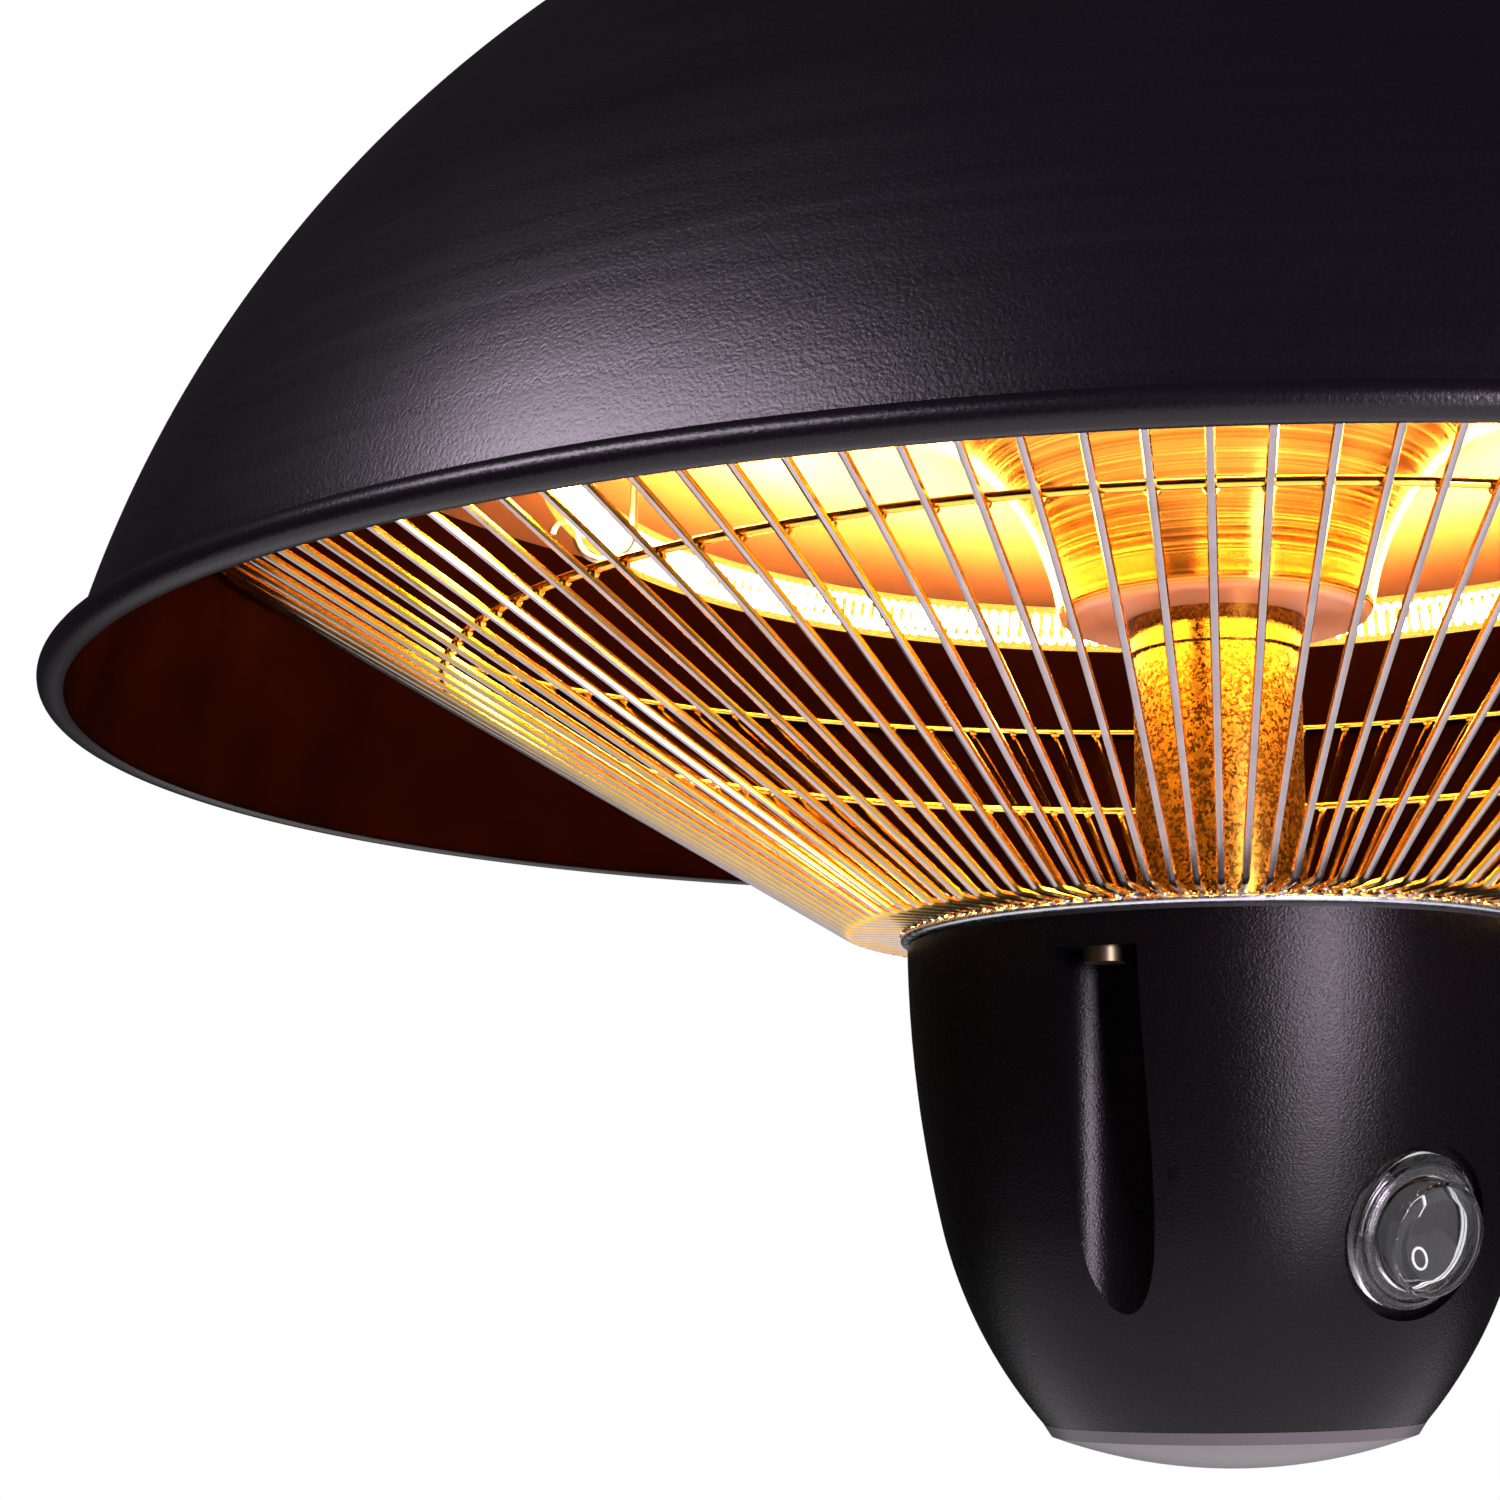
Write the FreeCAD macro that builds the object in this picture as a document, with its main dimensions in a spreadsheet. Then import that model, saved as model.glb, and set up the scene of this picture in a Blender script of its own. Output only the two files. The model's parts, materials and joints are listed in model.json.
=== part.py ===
"""Hanging patio heater: a spun dome with a ring lamp, a wire guard and a switch cup, on one tie rod.

Every height below is measured from the plane of the shade's rolled lip, up being positive. The whole
part is then lowered so that the origin is the centre of the hanging eye's hole. The switch faces -Y.
"""
import FreeCAD, Part
import Sketcher
import math
import os
from types import SimpleNamespace

DRIVING_SIZES = {
    # shade
    "shade_diameter": 425.0,
    "shade_height": 163.5,
    "shade_sheet": 1.0,
    "lip_radius": 2.6,
    "lip_curl": 60.0,
    # hanging hardware
    "hang_rise": 48.0,
    "eye_hole_radius": 6.0,
    "eye_margin": 6.0,
    "eye_thickness": 5.0,
    "eye_boss_radius": 9.0,
    "eye_boss_height": 11.0,
    "rod_radius": 4.0,
    "rod_thread_depth": 9.0,
    "rod_tail": 3.0,
    "nut_across_flats": 13.0,
    "nut_height": 6.5,
    "washer_radius": 8.0,
    "washer_thickness": 1.6,
    "sleeve_radius": 14.0,
    "sleeve_wall": 1.5,
    "top_cap_radius": 46.0,
    "top_cap_height": 20.0,
    "top_cap_wall": 2.5,
    "top_cap_round": 6.0,
    # cord inlet
    "gland_edge": 19.0,
    "gland_thread_radius": 6.0,
    "gland_bore_radius": 4.2,
    "gland_hex_flats": 16.0,
    "gland_hex_height": 5.0,
    "gland_tail": 9.5,
    "gland_neck_radius": 7.2,
    "gland_neck_height": 7.5,
    "gland_cap_radius": 9.0,
    "gland_cap_height": 12.5,
    "gland_cap_shoulder": 4.2,
    "gland_locknut_height": 4.5,
    "seal_bore_radius": 3.4,
    "seal_length": 8.0,
    "seal_seat": 1.25,
    "grommet_radius": 8.8,
    "grommet_neck_radius": 6.4,
    "grommet_lip": 1.7,
    # reflector
    "reflector_sheet": 0.8,
    "plate_level": 65.5,
    "flare_radius": 47.5,
    "cone_foot_radius": 30.2,
    "cone_foot_level": 22.0,
    "cone_foot_round": 3.0,
    # lamp
    "lamp_ring_radius": 123.0,
    "lamp_level": 48.5,
    "lamp_tube_radius": 5.0,
    "lamp_tube_wall": 1.0,
    "lamp_end_spacing": 26.0,
    "lamp_bend_radius": 10.0,
    "filament_outer_radius": 3.5,
    "filament_wire_radius": 0.45,
    "filament_turns": 96,
    "end_cap_radius": 8.5,
    "end_cap_height": 18.0,
    "end_cap_socket": 14.0,
    "clip_wire_radius": 0.8,
    "clip_curl_radius": 2.6,
    # centre tube
    "tube_radius": 16.0,
    "tube_wall": 1.2,
    "collar_radius": 17.0,
    "collar_height": 6.5,
    # wire guard
    "spoke_count": 112,
    "spoke_radius": 0.75,
    "ring_radius": 0.8,
    "spoke_overhang": 1.5,
    "spoke_foot_radius": 57.5,
    "spoke_bend_place": 70.5,
    "spoke_bend_radius": 5.0,
    "guard_slope": 31.0,
    "mid_ring_radius": 144.0,
    "top_ring_gap": 3.0,
    "flange_radius": 60.6,
    "flange_thickness": 1.5,
    "flange_level": -37.7,
    # switch cup
    "gasket_thickness": 0.7,
    "gasket_margin": 1.0,
    "gasket_width": 8.0,
    "cup_top_radius": 59.3,
    "cup_knee_radius": 53.3,
    "cup_knee_drop": 51.8,
    "cup_seam_radius": 35.0,
    "cup_height": 87.9,
    "cup_upper_bulge": 237.0,
    "cup_lower_bulge": 85.0,
    "cup_wall": 2.5,
    "cup_floor": 3.3,
    "channel_radius": 8.0,
    "channel_circle": 56.0,
    "channel_roof": 5.6,
    "screw_circle": 55.0,
    "screw_radius": 2.0,
    "screw_head_radius": 3.6,
    "screw_head_height": 2.6,
    "screw_tail": 1.5,
    "cap_opening_radius": 30.8,
    "cap_band_height": 2.2,
    "cap_band_draft": 1.4,
    "cap_belly": 6.0,
    "cap_wall": 2.0,
    "cap_spigot_height": 6.0,
    # switch
    "switch_drop": 55.3,
    "switch_surface_radius": 52.4,
    "switch_sink": 3.6,
    "switch_tilt": 15.0,
    "recess_radius": 15.5,
    "panel_thickness": 3.0,
    "panel_rim": 3.0,
    "recess_reach": 14.4,
    "barrel_radius": 10.0,
    "barrel_length": 17.0,
    "bezel_radius": 11.5,
    "bezel_height": 2.0,
    "pocket_radius": 9.15,
    "pocket_depth": 9.0,
    "rocker_radius": 8.8,
    "rocker_pivot_height": 0.6,
    "rocker_face_height": 1.6,
    "rocker_back_depth": 3.2,
    "rocker_throw": 20.0,
    "pivot_pin_radius": 1.2,
    "pivot_pin_reach": 9.7,
    "boot_radius": 13.7,
    "boot_cap_radius": 10.15,
    "boot_wall": 0.8,
    "boot_cap_height": 8.0,
    "boot_round": 0.7,
    "boot_shoulder_round": 0.96,
    "boot_fit": 0.1,
    "wing_width": 6.0,
    "wing_reach": 1.0,
    "wing_length": 3.0,
    "blade_width": 4.8,
    "blade_thickness": 0.8,
    "blade_length": 8.0,
    "blade_spacing": 10.0,
    # inner wiring
    "block_length": 44.0,
    "block_depth": 22.0,
    "block_height": 16.0,
    "block_centre": 102.0,
    "block_screw_radius": 2.0,
    "block_screw_depth": 4.0,
    "block_screw_pitch": 10.0,
    "block_row": 5.5,
    "lead_radius": 1.3,
    "lead_circle": 10.4,
    "lead_spacing": 4.4,
    "lead_level": 74.0,
    "lead_bend_radius": 4.5,
    "lead_arch": 14.0,
    "second_lead_arch": 21.0,
    # clearances
    "fit": 0.05,
    "loose": 0.3,
}

SWITCH_ANGLE = -90.0
CHANNEL_ANGLES = [SWITCH_ANGLE - 60.0, SWITCH_ANGLE + 60.0, SWITCH_ANGLE + 180.0]
CLIP_ANGLES = [134.0, 254.0, 14.0]
LAMP_ENDS_ANGLE = -150.0
BLOCK_SCREW_COUNT = 4

doc = FreeCAD.newDocument("PatioHeater")


class Size:
    """A length that keeps both its value and the sheet expression that gives it."""

    def __init__(self, value, text):
        self.value = float(value)
        self.text = text

    def __add__(self, other):
        other = as_size(other)
        return Size(self.value + other.value, f"({self.text} + {other.text})")

    def __sub__(self, other):
        other = as_size(other)
        return Size(self.value - other.value, f"({self.text} - {other.text})")

    def __mul__(self, other):
        other = as_size(other)
        return Size(self.value * other.value, f"({self.text} * {other.text})")

    def __truediv__(self, other):
        other = as_size(other)
        return Size(self.value / other.value, f"({self.text} / {other.text})")

    def __radd__(self, other):
        return as_size(other) + self

    def __rsub__(self, other):
        return as_size(other) - self

    def __rmul__(self, other):
        return as_size(other) * self

    def __neg__(self):
        return Size(-self.value, f"(0 - {self.text})")


def as_size(number):
    if isinstance(number, Size):
        return number
    return Size(number, f"({number:.12g})")


def root(size):
    return Size(math.sqrt(size.value), f"sqrt({size.text})")


def tangent(degrees):
    return Size(math.tan(math.radians(degrees.value)), f"tan({degrees.text})")


def cosine(degrees):
    return Size(math.cos(math.radians(degrees.value)), f"cos({degrees.text})")


def sine(degrees):
    return Size(math.sin(math.radians(degrees.value)), f"sin({degrees.text})")


def fill_sheet(values):
    """Write one row for each driving size and give back the sizes by name."""
    sheet = doc.addObject("Spreadsheet::Sheet", "Sizes")
    sizes = {}
    for row, (name, value) in enumerate(values.items(), start=1):
        sheet.set(f"A{row}", name)
        sheet.set(f"B{row}", f"{value:g}")
        sheet.setAlias(f"B{row}", name)
        sizes[name] = Size(value, f"Sizes.{name}")
    doc.recompute()
    return SimpleNamespace(**sizes)


S = fill_sheet(DRIVING_SIZES)
ZERO = as_size(0.0)

# Places that several pieces share.
roll_inner = S.lip_radius - S.shade_sheet
roll_centre = S.shade_diameter / 2 - S.lip_radius
dome_radius = (roll_centre * roll_centre + S.shade_height * S.shade_height - roll_inner * roll_inner) / (
    2 * (S.shade_height + roll_inner)
)
dome_centre = S.shade_height - dome_radius
eye_level = S.shade_height + S.hang_rise
gland_offset = S.top_cap_radius - S.gland_edge
wire_hole_depth = 4 * S.shade_sheet
rod_hole_radius = S.rod_radius + S.loose
cap_top = S.shade_height + S.top_cap_height
flange_bottom = S.flange_level - S.flange_thickness
cup_top = flange_bottom - S.gasket_thickness
cup_bottom = cup_top - S.cup_height
plate_top = S.plate_level + S.reflector_sheet
foot_top = S.cone_foot_level + S.reflector_sheet
spoke_level = S.flange_level + S.spoke_radius + S.fit
switch_level = flange_bottom - S.switch_drop
lead_hole_radius = S.lead_radius + S.loose
lower_nut_top = flange_bottom - S.washer_thickness


def dome_level(radius, sheet=ZERO):
    """Height of the dome at a radius, on the face that lies that much sheet inside the outer one."""
    reach = dome_radius - sheet
    return dome_centre + root(reach * reach - radius * radius)


def dome_reach(level, sheet=ZERO):
    """Radius of the dome at a height."""
    reach = dome_radius - sheet
    rise = level - dome_centre
    return root(reach * reach - rise * rise)


def bind(obj, **sizes):
    """Tie properties of an object to sheet expressions; a name such as Placement_Base_z is a path."""
    for name, size in sizes.items():
        obj.setExpression(name.replace("_", "."), as_size(size).text)


def settle(obj, label, x=ZERO, y=ZERO, level=ZERO):
    """Name a finished piece and lower it from the lip's plane to the eye's frame."""
    obj.Label = label
    bind(obj, Placement_Base_x=x, Placement_Base_y=y, Placement_Base_z=level - eye_level)
    PIECES.append(obj)
    return obj


PIECES = []


def draw_outline(sketch, outline):
    """Draw a closed outline of (r, z) corners; (r, z, radius, turn) arrives by an arc, turn +1 being left."""
    ends = []
    count = len(outline)
    for index in range(count):
        start = outline[index]
        stop = outline[(index + 1) % count]
        a = FreeCAD.Vector(as_size(start[0]).value, as_size(start[1]).value, 0)
        b = FreeCAD.Vector(as_size(stop[0]).value, as_size(stop[1]).value, 0)
        if len(stop) == 2:
            sketch.addGeometry(Part.LineSegment(a, b), False)
            ends.append((1, 2))
            continue
        radius = as_size(stop[2]).value
        turn = stop[3]
        chord = b - a
        left = FreeCAD.Vector(-chord.y, chord.x, 0) / chord.Length
        rise = math.sqrt(max(radius * radius - chord.Length * chord.Length / 4, 0.0))
        centre = (a + b) / 2 + left * rise * turn
        first, last = (a, b) if turn > 0 else (b, a)
        circle = Part.Circle(centre, FreeCAD.Vector(0, 0, 1), radius)
        from_angle = math.atan2(first.y - centre.y, first.x - centre.x)
        to_angle = math.atan2(last.y - centre.y, last.x - centre.x)
        if to_angle <= from_angle:
            to_angle += 2 * math.pi
        sketch.addGeometry(Part.ArcOfCircle(circle, from_angle, to_angle), False)
        ends.append((1, 2) if turn > 0 else (2, 1))
    for index in range(count):
        after = (index + 1) % count
        sketch.addConstraint(
            Sketcher.Constraint("Coincident", index, ends[index][1], after, ends[after][0])
        )
    for index, corner in enumerate(outline):
        start = ends[index][0]
        across = as_size(corner[0])
        height = as_size(corner[1])
        if across.value == 0.0:
            sketch.addConstraint(Sketcher.Constraint("PointOnObject", index, start, -2))
        else:
            pin_down(sketch, Sketcher.Constraint("DistanceX", -1, 1, index, start, across.value), across)
        pin_down(sketch, Sketcher.Constraint("DistanceY", -1, 1, index, start, height.value), height)
        if len(corner) == 4:
            before = (index - 1) % count
            bow = as_size(corner[2])
            pin_down(sketch, Sketcher.Constraint("Radius", before, bow.value), bow)


def pin_down(sketch, constraint, size):
    number = sketch.addConstraint(constraint)
    sketch.setExpression(f"Constraints[{number}]", size.text)


def turned(name, outline):
    """A body turned about the vertical axis from its half outline."""
    body = doc.addObject("PartDesign::Body", name)
    sketch = body.newObject("Sketcher::SketchObject", name + "_outline")
    plane = [feature for feature in body.Origin.OriginFeatures if feature.Role == "XZ_Plane"][0]
    sketch.AttachmentSupport = [(plane, "")]
    sketch.MapMode = "FlatFace"
    draw_outline(sketch, outline)
    turn = body.newObject("PartDesign::Revolution", name + "_turn")
    turn.Profile = sketch
    turn.ReferenceAxis = (sketch, ["V_Axis"])
    turn.Angle = 360.0
    return body


def ring_outline(inner, outer, low, high):
    return [(inner, low), (outer, low), (outer, high), (inner, high)]


def cylinder(name, radius, low, high, x=ZERO, y=ZERO):
    obj = doc.addObject("Part::Cylinder", name)
    bind(obj, Radius=radius, Height=high - low)
    bind(obj, Placement_Base_x=x, Placement_Base_y=y, Placement_Base_z=low)
    return obj


def box(name, low, high):
    obj = doc.addObject("Part::Box", name)
    bind(obj, Length=high[0] - low[0], Width=high[1] - low[1], Height=high[2] - low[2])
    bind(obj, Placement_Base_x=low[0], Placement_Base_y=low[1], Placement_Base_z=low[2])
    return obj


def hexagon(name, across_flats, low, high):
    obj = doc.addObject("Part::Prism", name)
    obj.Polygon = 6
    bind(obj, Circumradius=across_flats / math.sqrt(3.0), Height=high - low, Placement_Base_z=low)
    return obj


def fuse(name, shapes):
    obj = doc.addObject("Part::MultiFuse", name)
    obj.Shapes = shapes
    return obj


def common(name, first, second):
    obj = doc.addObject("Part::Common", name)
    obj.Base = first
    obj.Tool = second
    return obj


def cut(name, base, tools):
    obj = doc.addObject("Part::Cut", name)
    obj.Base = base
    obj.Tool = tools[0] if len(tools) == 1 else fuse(name + "_tools", tools)
    return obj


def shaped(label, shape):
    """A piece whose shape is worked out below rather than drawn."""
    obj = doc.addObject("Part::Feature", label)
    obj.Shape = shape
    return settle(obj, label)


def around(angle, radius):
    """X and Y of a point at an angle on a circle about the axis."""
    turn = math.radians(angle)
    return radius * math.cos(turn), radius * math.sin(turn)


# Shade and what hangs it.


def make_shade():
    tilt = root(roll_centre * roll_centre + dome_centre * dome_centre)
    across = roll_centre / tilt
    sink = dome_centre / tilt
    inner_reach = dome_radius - S.shade_sheet
    end_across = cosine(S.lip_curl)
    end_rise = sine(S.lip_curl)
    outline = [
        (rod_hole_radius, dome_level(rod_hole_radius)),
        (across * dome_radius, dome_centre - sink * dome_radius, dome_radius, -1),
        (roll_centre, -roll_inner, roll_inner, 1),
        (roll_centre + roll_inner, ZERO, roll_inner, 1),
        (roll_centre + roll_inner * end_across, roll_inner * end_rise, roll_inner, 1),
        (roll_centre + S.lip_radius * end_across, S.lip_radius * end_rise),
        (roll_centre + S.lip_radius, ZERO, S.lip_radius, -1),
        (roll_centre, -S.lip_radius, S.lip_radius, -1),
        (across * inner_reach, dome_centre - sink * inner_reach, S.lip_radius, -1),
        (rod_hole_radius, dome_level(rod_hole_radius, S.shade_sheet), inner_reach, 1),
    ]
    dome = turned("shade_dome", outline)
    hole = cylinder("wire_hole", S.grommet_neck_radius + S.fit, -wire_hole_depth, wire_hole_depth)
    lean_on_dome(hole, dome_level(gland_offset))
    settle(cut("shade_cut", dome, [hole]), "shade")


def lean_on_dome(obj, level):
    """Stand a piece on the dome at the wire hole, square to the sheet."""
    lean = Size(
        math.degrees(math.asin(gland_offset.value / dome_radius.value)),
        f"asin({gland_offset.text} / {dome_radius.text})",
    )
    obj.Placement = FreeCAD.Placement(
        FreeCAD.Vector(), FreeCAD.Rotation(FreeCAD.Vector(0, 1, 0), lean.value)
    )
    if obj.TypeId == "Part::Cylinder":
        bind(obj, Placement_Base_x=gland_offset - wire_hole_depth * sine(lean))
        bind(obj, Placement_Base_z=level - wire_hole_depth * cosine(lean))
    else:
        bind(obj, Placement_Base_x=gland_offset, Placement_Base_z=level - eye_level)
    bind(obj, Placement_Rotation_Angle=lean)


def make_grommet():
    sheet_low = -S.shade_sheet - S.grommet_radius * S.grommet_radius / dome_radius
    outline = [
        (S.gland_bore_radius, sheet_low - S.grommet_lip),
        (S.grommet_radius, sheet_low - S.grommet_lip),
        (S.grommet_radius, sheet_low),
        (S.grommet_neck_radius, sheet_low),
        (S.grommet_neck_radius, S.fit),
        (S.grommet_radius, S.fit),
        (S.grommet_radius, S.fit + S.grommet_lip),
        (S.gland_bore_radius, S.fit + S.grommet_lip),
    ]
    body = turned("cable_grommet", outline)
    body.Label = "cable_grommet"
    lean_on_dome(body, dome_level(gland_offset))
    PIECES.append(body)


def make_hanging_eye():
    head_radius = S.eye_hole_radius + S.eye_margin
    boss = cylinder("eye_boss", S.eye_boss_radius, cap_top, cap_top + S.eye_boss_height)
    strap = box(
        "eye_strap",
        (-head_radius, -S.eye_thickness / 2, cap_top + S.eye_boss_height - S.eye_thickness),
        (head_radius, S.eye_thickness / 2, eye_level),
    )
    head = crosswise("eye_head", head_radius, S.eye_thickness)
    hole = crosswise("eye_hole", S.eye_hole_radius, S.eye_thickness + 2 * S.loose)
    thread = cylinder(
        "eye_thread", S.rod_radius + S.fit, cap_top - S.loose, cap_top + S.rod_thread_depth + S.loose
    )
    solid = fuse("eye_solid", [boss, strap, head])
    settle(cut("eye_cut", solid, [hole, thread]), "hanging_eye")


def crosswise(name, radius, length):
    """A cylinder along Y through the centre of the eye."""
    obj = cylinder(name, radius, ZERO, length)
    obj.Placement = FreeCAD.Placement(
        FreeCAD.Vector(), FreeCAD.Rotation(FreeCAD.Vector(1, 0, 0), 90)
    )
    bind(obj, Placement_Base_y=length / 2, Placement_Base_z=eye_level)
    return obj


def make_tie_rod():
    low = lower_nut_top - S.nut_height - S.rod_tail
    rod = cylinder("tie_rod", S.rod_radius, low, cap_top + S.rod_thread_depth)
    rod.Label = "tie_rod"
    bind(rod, Placement_Base_z=low - eye_level)
    PIECES.append(rod)


def make_rod_hardware():
    upper_washer = S.shade_height + S.fit
    upper_nut = upper_washer + S.washer_thickness
    for name, level in (("upper_washer", upper_washer), ("lower_washer", lower_nut_top)):
        outline = ring_outline(rod_hole_radius, S.washer_radius, level, level + S.washer_thickness)
        settle(turned(name, outline), name)
    for name, level in (("upper_nut", upper_nut), ("lower_nut", lower_nut_top - S.nut_height)):
        prism = hexagon(name + "_hex", S.nut_across_flats, level, level + S.nut_height)
        bore = cylinder(
            name + "_bore", S.rod_radius + S.fit, level - S.loose, level + S.nut_height + S.loose
        )
        settle(cut(name + "_cut", prism, [bore]), name)


def make_spacer_sleeve():
    top = dome_level(S.sleeve_radius, S.shade_sheet) - S.fit
    outline = ring_outline(S.sleeve_radius - S.sleeve_wall, S.sleeve_radius, foot_top, top)
    sleeve = turned("sleeve_tube", outline)
    half = S.lead_spacing / 2 + S.lead_radius + S.loose
    slot = box(
        "sleeve_slot",
        (-half, -S.sleeve_radius - S.sleeve_wall, S.lead_level - S.lead_bend_radius - S.lead_radius),
        (half, -S.lead_circle / 2, S.lead_level + S.lead_radius + S.loose),
    )
    settle(cut("sleeve_cut", sleeve, [slot]), "spacer_sleeve")


def make_top_cap():
    inner = S.top_cap_radius - S.top_cap_wall
    shoulder = S.top_cap_radius - S.top_cap_round
    inner_round = S.top_cap_round - S.top_cap_wall
    outline = [
        (rod_hole_radius, cap_top - S.top_cap_wall),
        (shoulder, cap_top - S.top_cap_wall),
        (inner, cap_top - S.top_cap_round, inner_round, -1),
        (inner, dome_level(inner) + S.fit),
        (S.top_cap_radius, dome_level(S.top_cap_radius) + S.fit),
        (S.top_cap_radius, cap_top - S.top_cap_round),
        (shoulder, cap_top, S.top_cap_round, 1),
        (rod_hole_radius, cap_top),
    ]
    shell = turned("top_cap_shell", outline)
    hole = cylinder(
        "gland_hole",
        S.gland_thread_radius + S.fit,
        cap_top - S.top_cap_wall - S.loose,
        cap_top + S.loose,
        x=gland_offset,
    )
    settle(cut("top_cap_cut", shell, [hole]), "top_cap")


def make_gland():
    hex_top = cap_top + S.gland_hex_height
    neck_top = hex_top + S.gland_neck_height
    seal_low = hex_top + S.seal_seat
    seal_top = seal_low + S.seal_length
    seal_outer = S.gland_thread_radius - S.fit
    prism = hexagon("gland_hex", S.gland_hex_flats, cap_top, hex_top)
    tail = cylinder("gland_thread", S.gland_thread_radius, cap_top - S.gland_tail, hex_top)
    neck = cylinder("gland_neck", S.gland_neck_radius, cap_top, neck_top)
    solid = fuse("gland_solid", [prism, tail, neck])
    bore = cylinder("gland_bore", S.gland_bore_radius, cap_top - S.gland_tail - S.loose, neck_top + S.loose)
    socket = cylinder("gland_socket", S.gland_thread_radius, seal_low, neck_top + S.loose)
    settle(cut("gland_cut", solid, [bore, socket]), "gland_body", x=gland_offset)

    seal = ring_outline(S.seal_bore_radius, seal_outer, seal_low + S.fit, seal_top)
    settle(turned("gland_seal", seal), "gland_seal", x=gland_offset)

    cap_low = hex_top + S.fit
    cap_high = hex_top + S.gland_cap_height
    thread = S.gland_neck_radius + S.fit
    outline = [
        (thread, cap_low),
        (S.gland_cap_radius, cap_low),
        (S.gland_cap_radius, cap_high - S.gland_cap_shoulder),
        (S.gland_neck_radius - S.loose, cap_high, S.gland_cap_radius, 1),
        (S.gland_bore_radius, cap_high),
        (S.gland_bore_radius, seal_top + S.fit),
        (S.gland_thread_radius, seal_top + S.fit),
        (S.gland_thread_radius, neck_top + S.fit),
        (thread, neck_top + S.fit),
    ]
    settle(turned("gland_cap", outline), "gland_cap", x=gland_offset)

    nut_top = cap_top - S.top_cap_wall - S.fit
    nut = hexagon("gland_locknut_hex", S.gland_hex_flats, nut_top - S.gland_locknut_height, nut_top)
    nut_bore = cylinder(
        "gland_locknut_bore",
        S.gland_thread_radius + S.fit,
        nut_top - S.gland_locknut_height - S.loose,
        nut_top + S.loose,
    )
    settle(cut("gland_locknut_cut", nut, [nut_bore]), "gland_locknut", x=gland_offset)


# Reflector and lamp.

flare_centre_level = S.plate_level - S.flare_radius
foot_edge_level = S.cone_foot_level + S.cone_foot_round
flare_rise = foot_edge_level - flare_centre_level
flare_centre = S.cone_foot_radius + root(S.flare_radius * S.flare_radius - flare_rise * flare_rise)


def make_reflector():
    back_radius = S.flare_radius + S.reflector_sheet
    back_rise = foot_top - flare_centre_level
    back_foot = flare_centre - root(back_radius * back_radius - back_rise * back_rise)
    edge = dome_reach(plate_top, S.shade_sheet) - S.loose
    outline = [
        (rod_hole_radius, S.cone_foot_level),
        (S.cone_foot_radius - S.cone_foot_round, S.cone_foot_level),
        (S.cone_foot_radius, foot_edge_level, S.cone_foot_round, 1),
        (flare_centre, S.plate_level, S.flare_radius, -1),
        (edge, S.plate_level),
        (edge, plate_top),
        (flare_centre, plate_top),
        (back_foot, foot_top, back_radius, 1),
        (rod_hole_radius, foot_top),
    ]
    pan = turned("reflector_pan", outline)
    holes = []
    for side in (-1, 1):
        x, y = lamp_end_place(side)
        holes.append(
            cylinder(
                "lamp_hole",
                S.lamp_tube_radius + S.loose,
                S.plate_level - S.reflector_sheet,
                plate_top + S.reflector_sheet,
                x,
                y,
            )
        )
        holes.append(lead_hole("cone_lead_hole", side, S.cone_foot_level, foot_top))
    settle(cut("reflector_cut", pan, holes), "reflector")


def lead_hole(name, side, low, high):
    return cylinder(
        name,
        lead_hole_radius,
        low - lead_hole_radius,
        high + lead_hole_radius,
        S.lead_spacing / 2 * side,
        -S.lead_circle,
    )


def lamp_end_place(side):
    """X and Y of a turned-up lamp end: beside the radius through the middle of the lamp's gap."""
    turn = math.radians(LAMP_ENDS_ANGLE)
    beside = S.lamp_end_spacing / 2 * side
    ring = S.lamp_ring_radius
    bend = S.lamp_bend_radius
    out = root(ring * ring + bend * bend - beside * beside)
    return (
        out * math.cos(turn) - beside * math.sin(turn),
        out * math.sin(turn) + beside * math.cos(turn),
    )


def vector(x, y, z):
    return FreeCAD.Vector(as_size(x).value, as_size(y).value, as_size(z).value)


def ring_point(angle):
    return FreeCAD.Vector(
        S.lamp_ring_radius.value * math.cos(angle),
        S.lamp_ring_radius.value * math.sin(angle),
        S.lamp_level.value,
    )


def lamp_angles():
    """First and last angle of the lamp's ring, in radians, either side of its gap."""
    ring = S.lamp_ring_radius.value
    bend = S.lamp_bend_radius.value
    half = math.atan2(bend, ring) + math.asin(S.lamp_end_spacing.value / 2 / math.hypot(ring, bend))
    middle = math.radians(LAMP_ENDS_ANGLE)
    return middle + half, middle + 2 * math.pi - half


def lamp_path():
    """Up-turned end, bend, ring, bend and up-turned end."""
    first, last = lamp_angles()
    up = FreeCAD.Vector(0, 0, 1)
    bend = S.lamp_bend_radius.value
    top = plate_top.value + S.end_cap_socket.value
    edges = []
    for angle, side in ((first, -1), (last, 1)):
        foot = ring_point(angle)
        inward = FreeCAD.Vector(-math.sin(angle), math.cos(angle), 0) * side
        centre = foot + up * bend
        turn_top = centre + inward * bend
        turn_mid = centre + (inward - up) * (bend / math.sqrt(2.0))
        tip = FreeCAD.Vector(turn_top.x, turn_top.y, top)
        edges.append((tip, turn_top, turn_mid, foot))
    (tip_a, top_a, mid_a, foot_a), (tip_b, top_b, mid_b, foot_b) = edges
    span = last - first
    quarter = [ring_point(first + span * part / 4) for part in range(1, 4)]
    return [
        Part.LineSegment(tip_a, top_a).toShape(),
        Part.Arc(top_a, mid_a, foot_a).toShape(),
        Part.Arc(foot_a, quarter[0], quarter[1]).toShape(),
        Part.Arc(quarter[1], quarter[2], foot_b).toShape(),
        Part.Arc(foot_b, mid_b, top_b).toShape(),
        Part.LineSegment(top_b, tip_b).toShape(),
    ]


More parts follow.
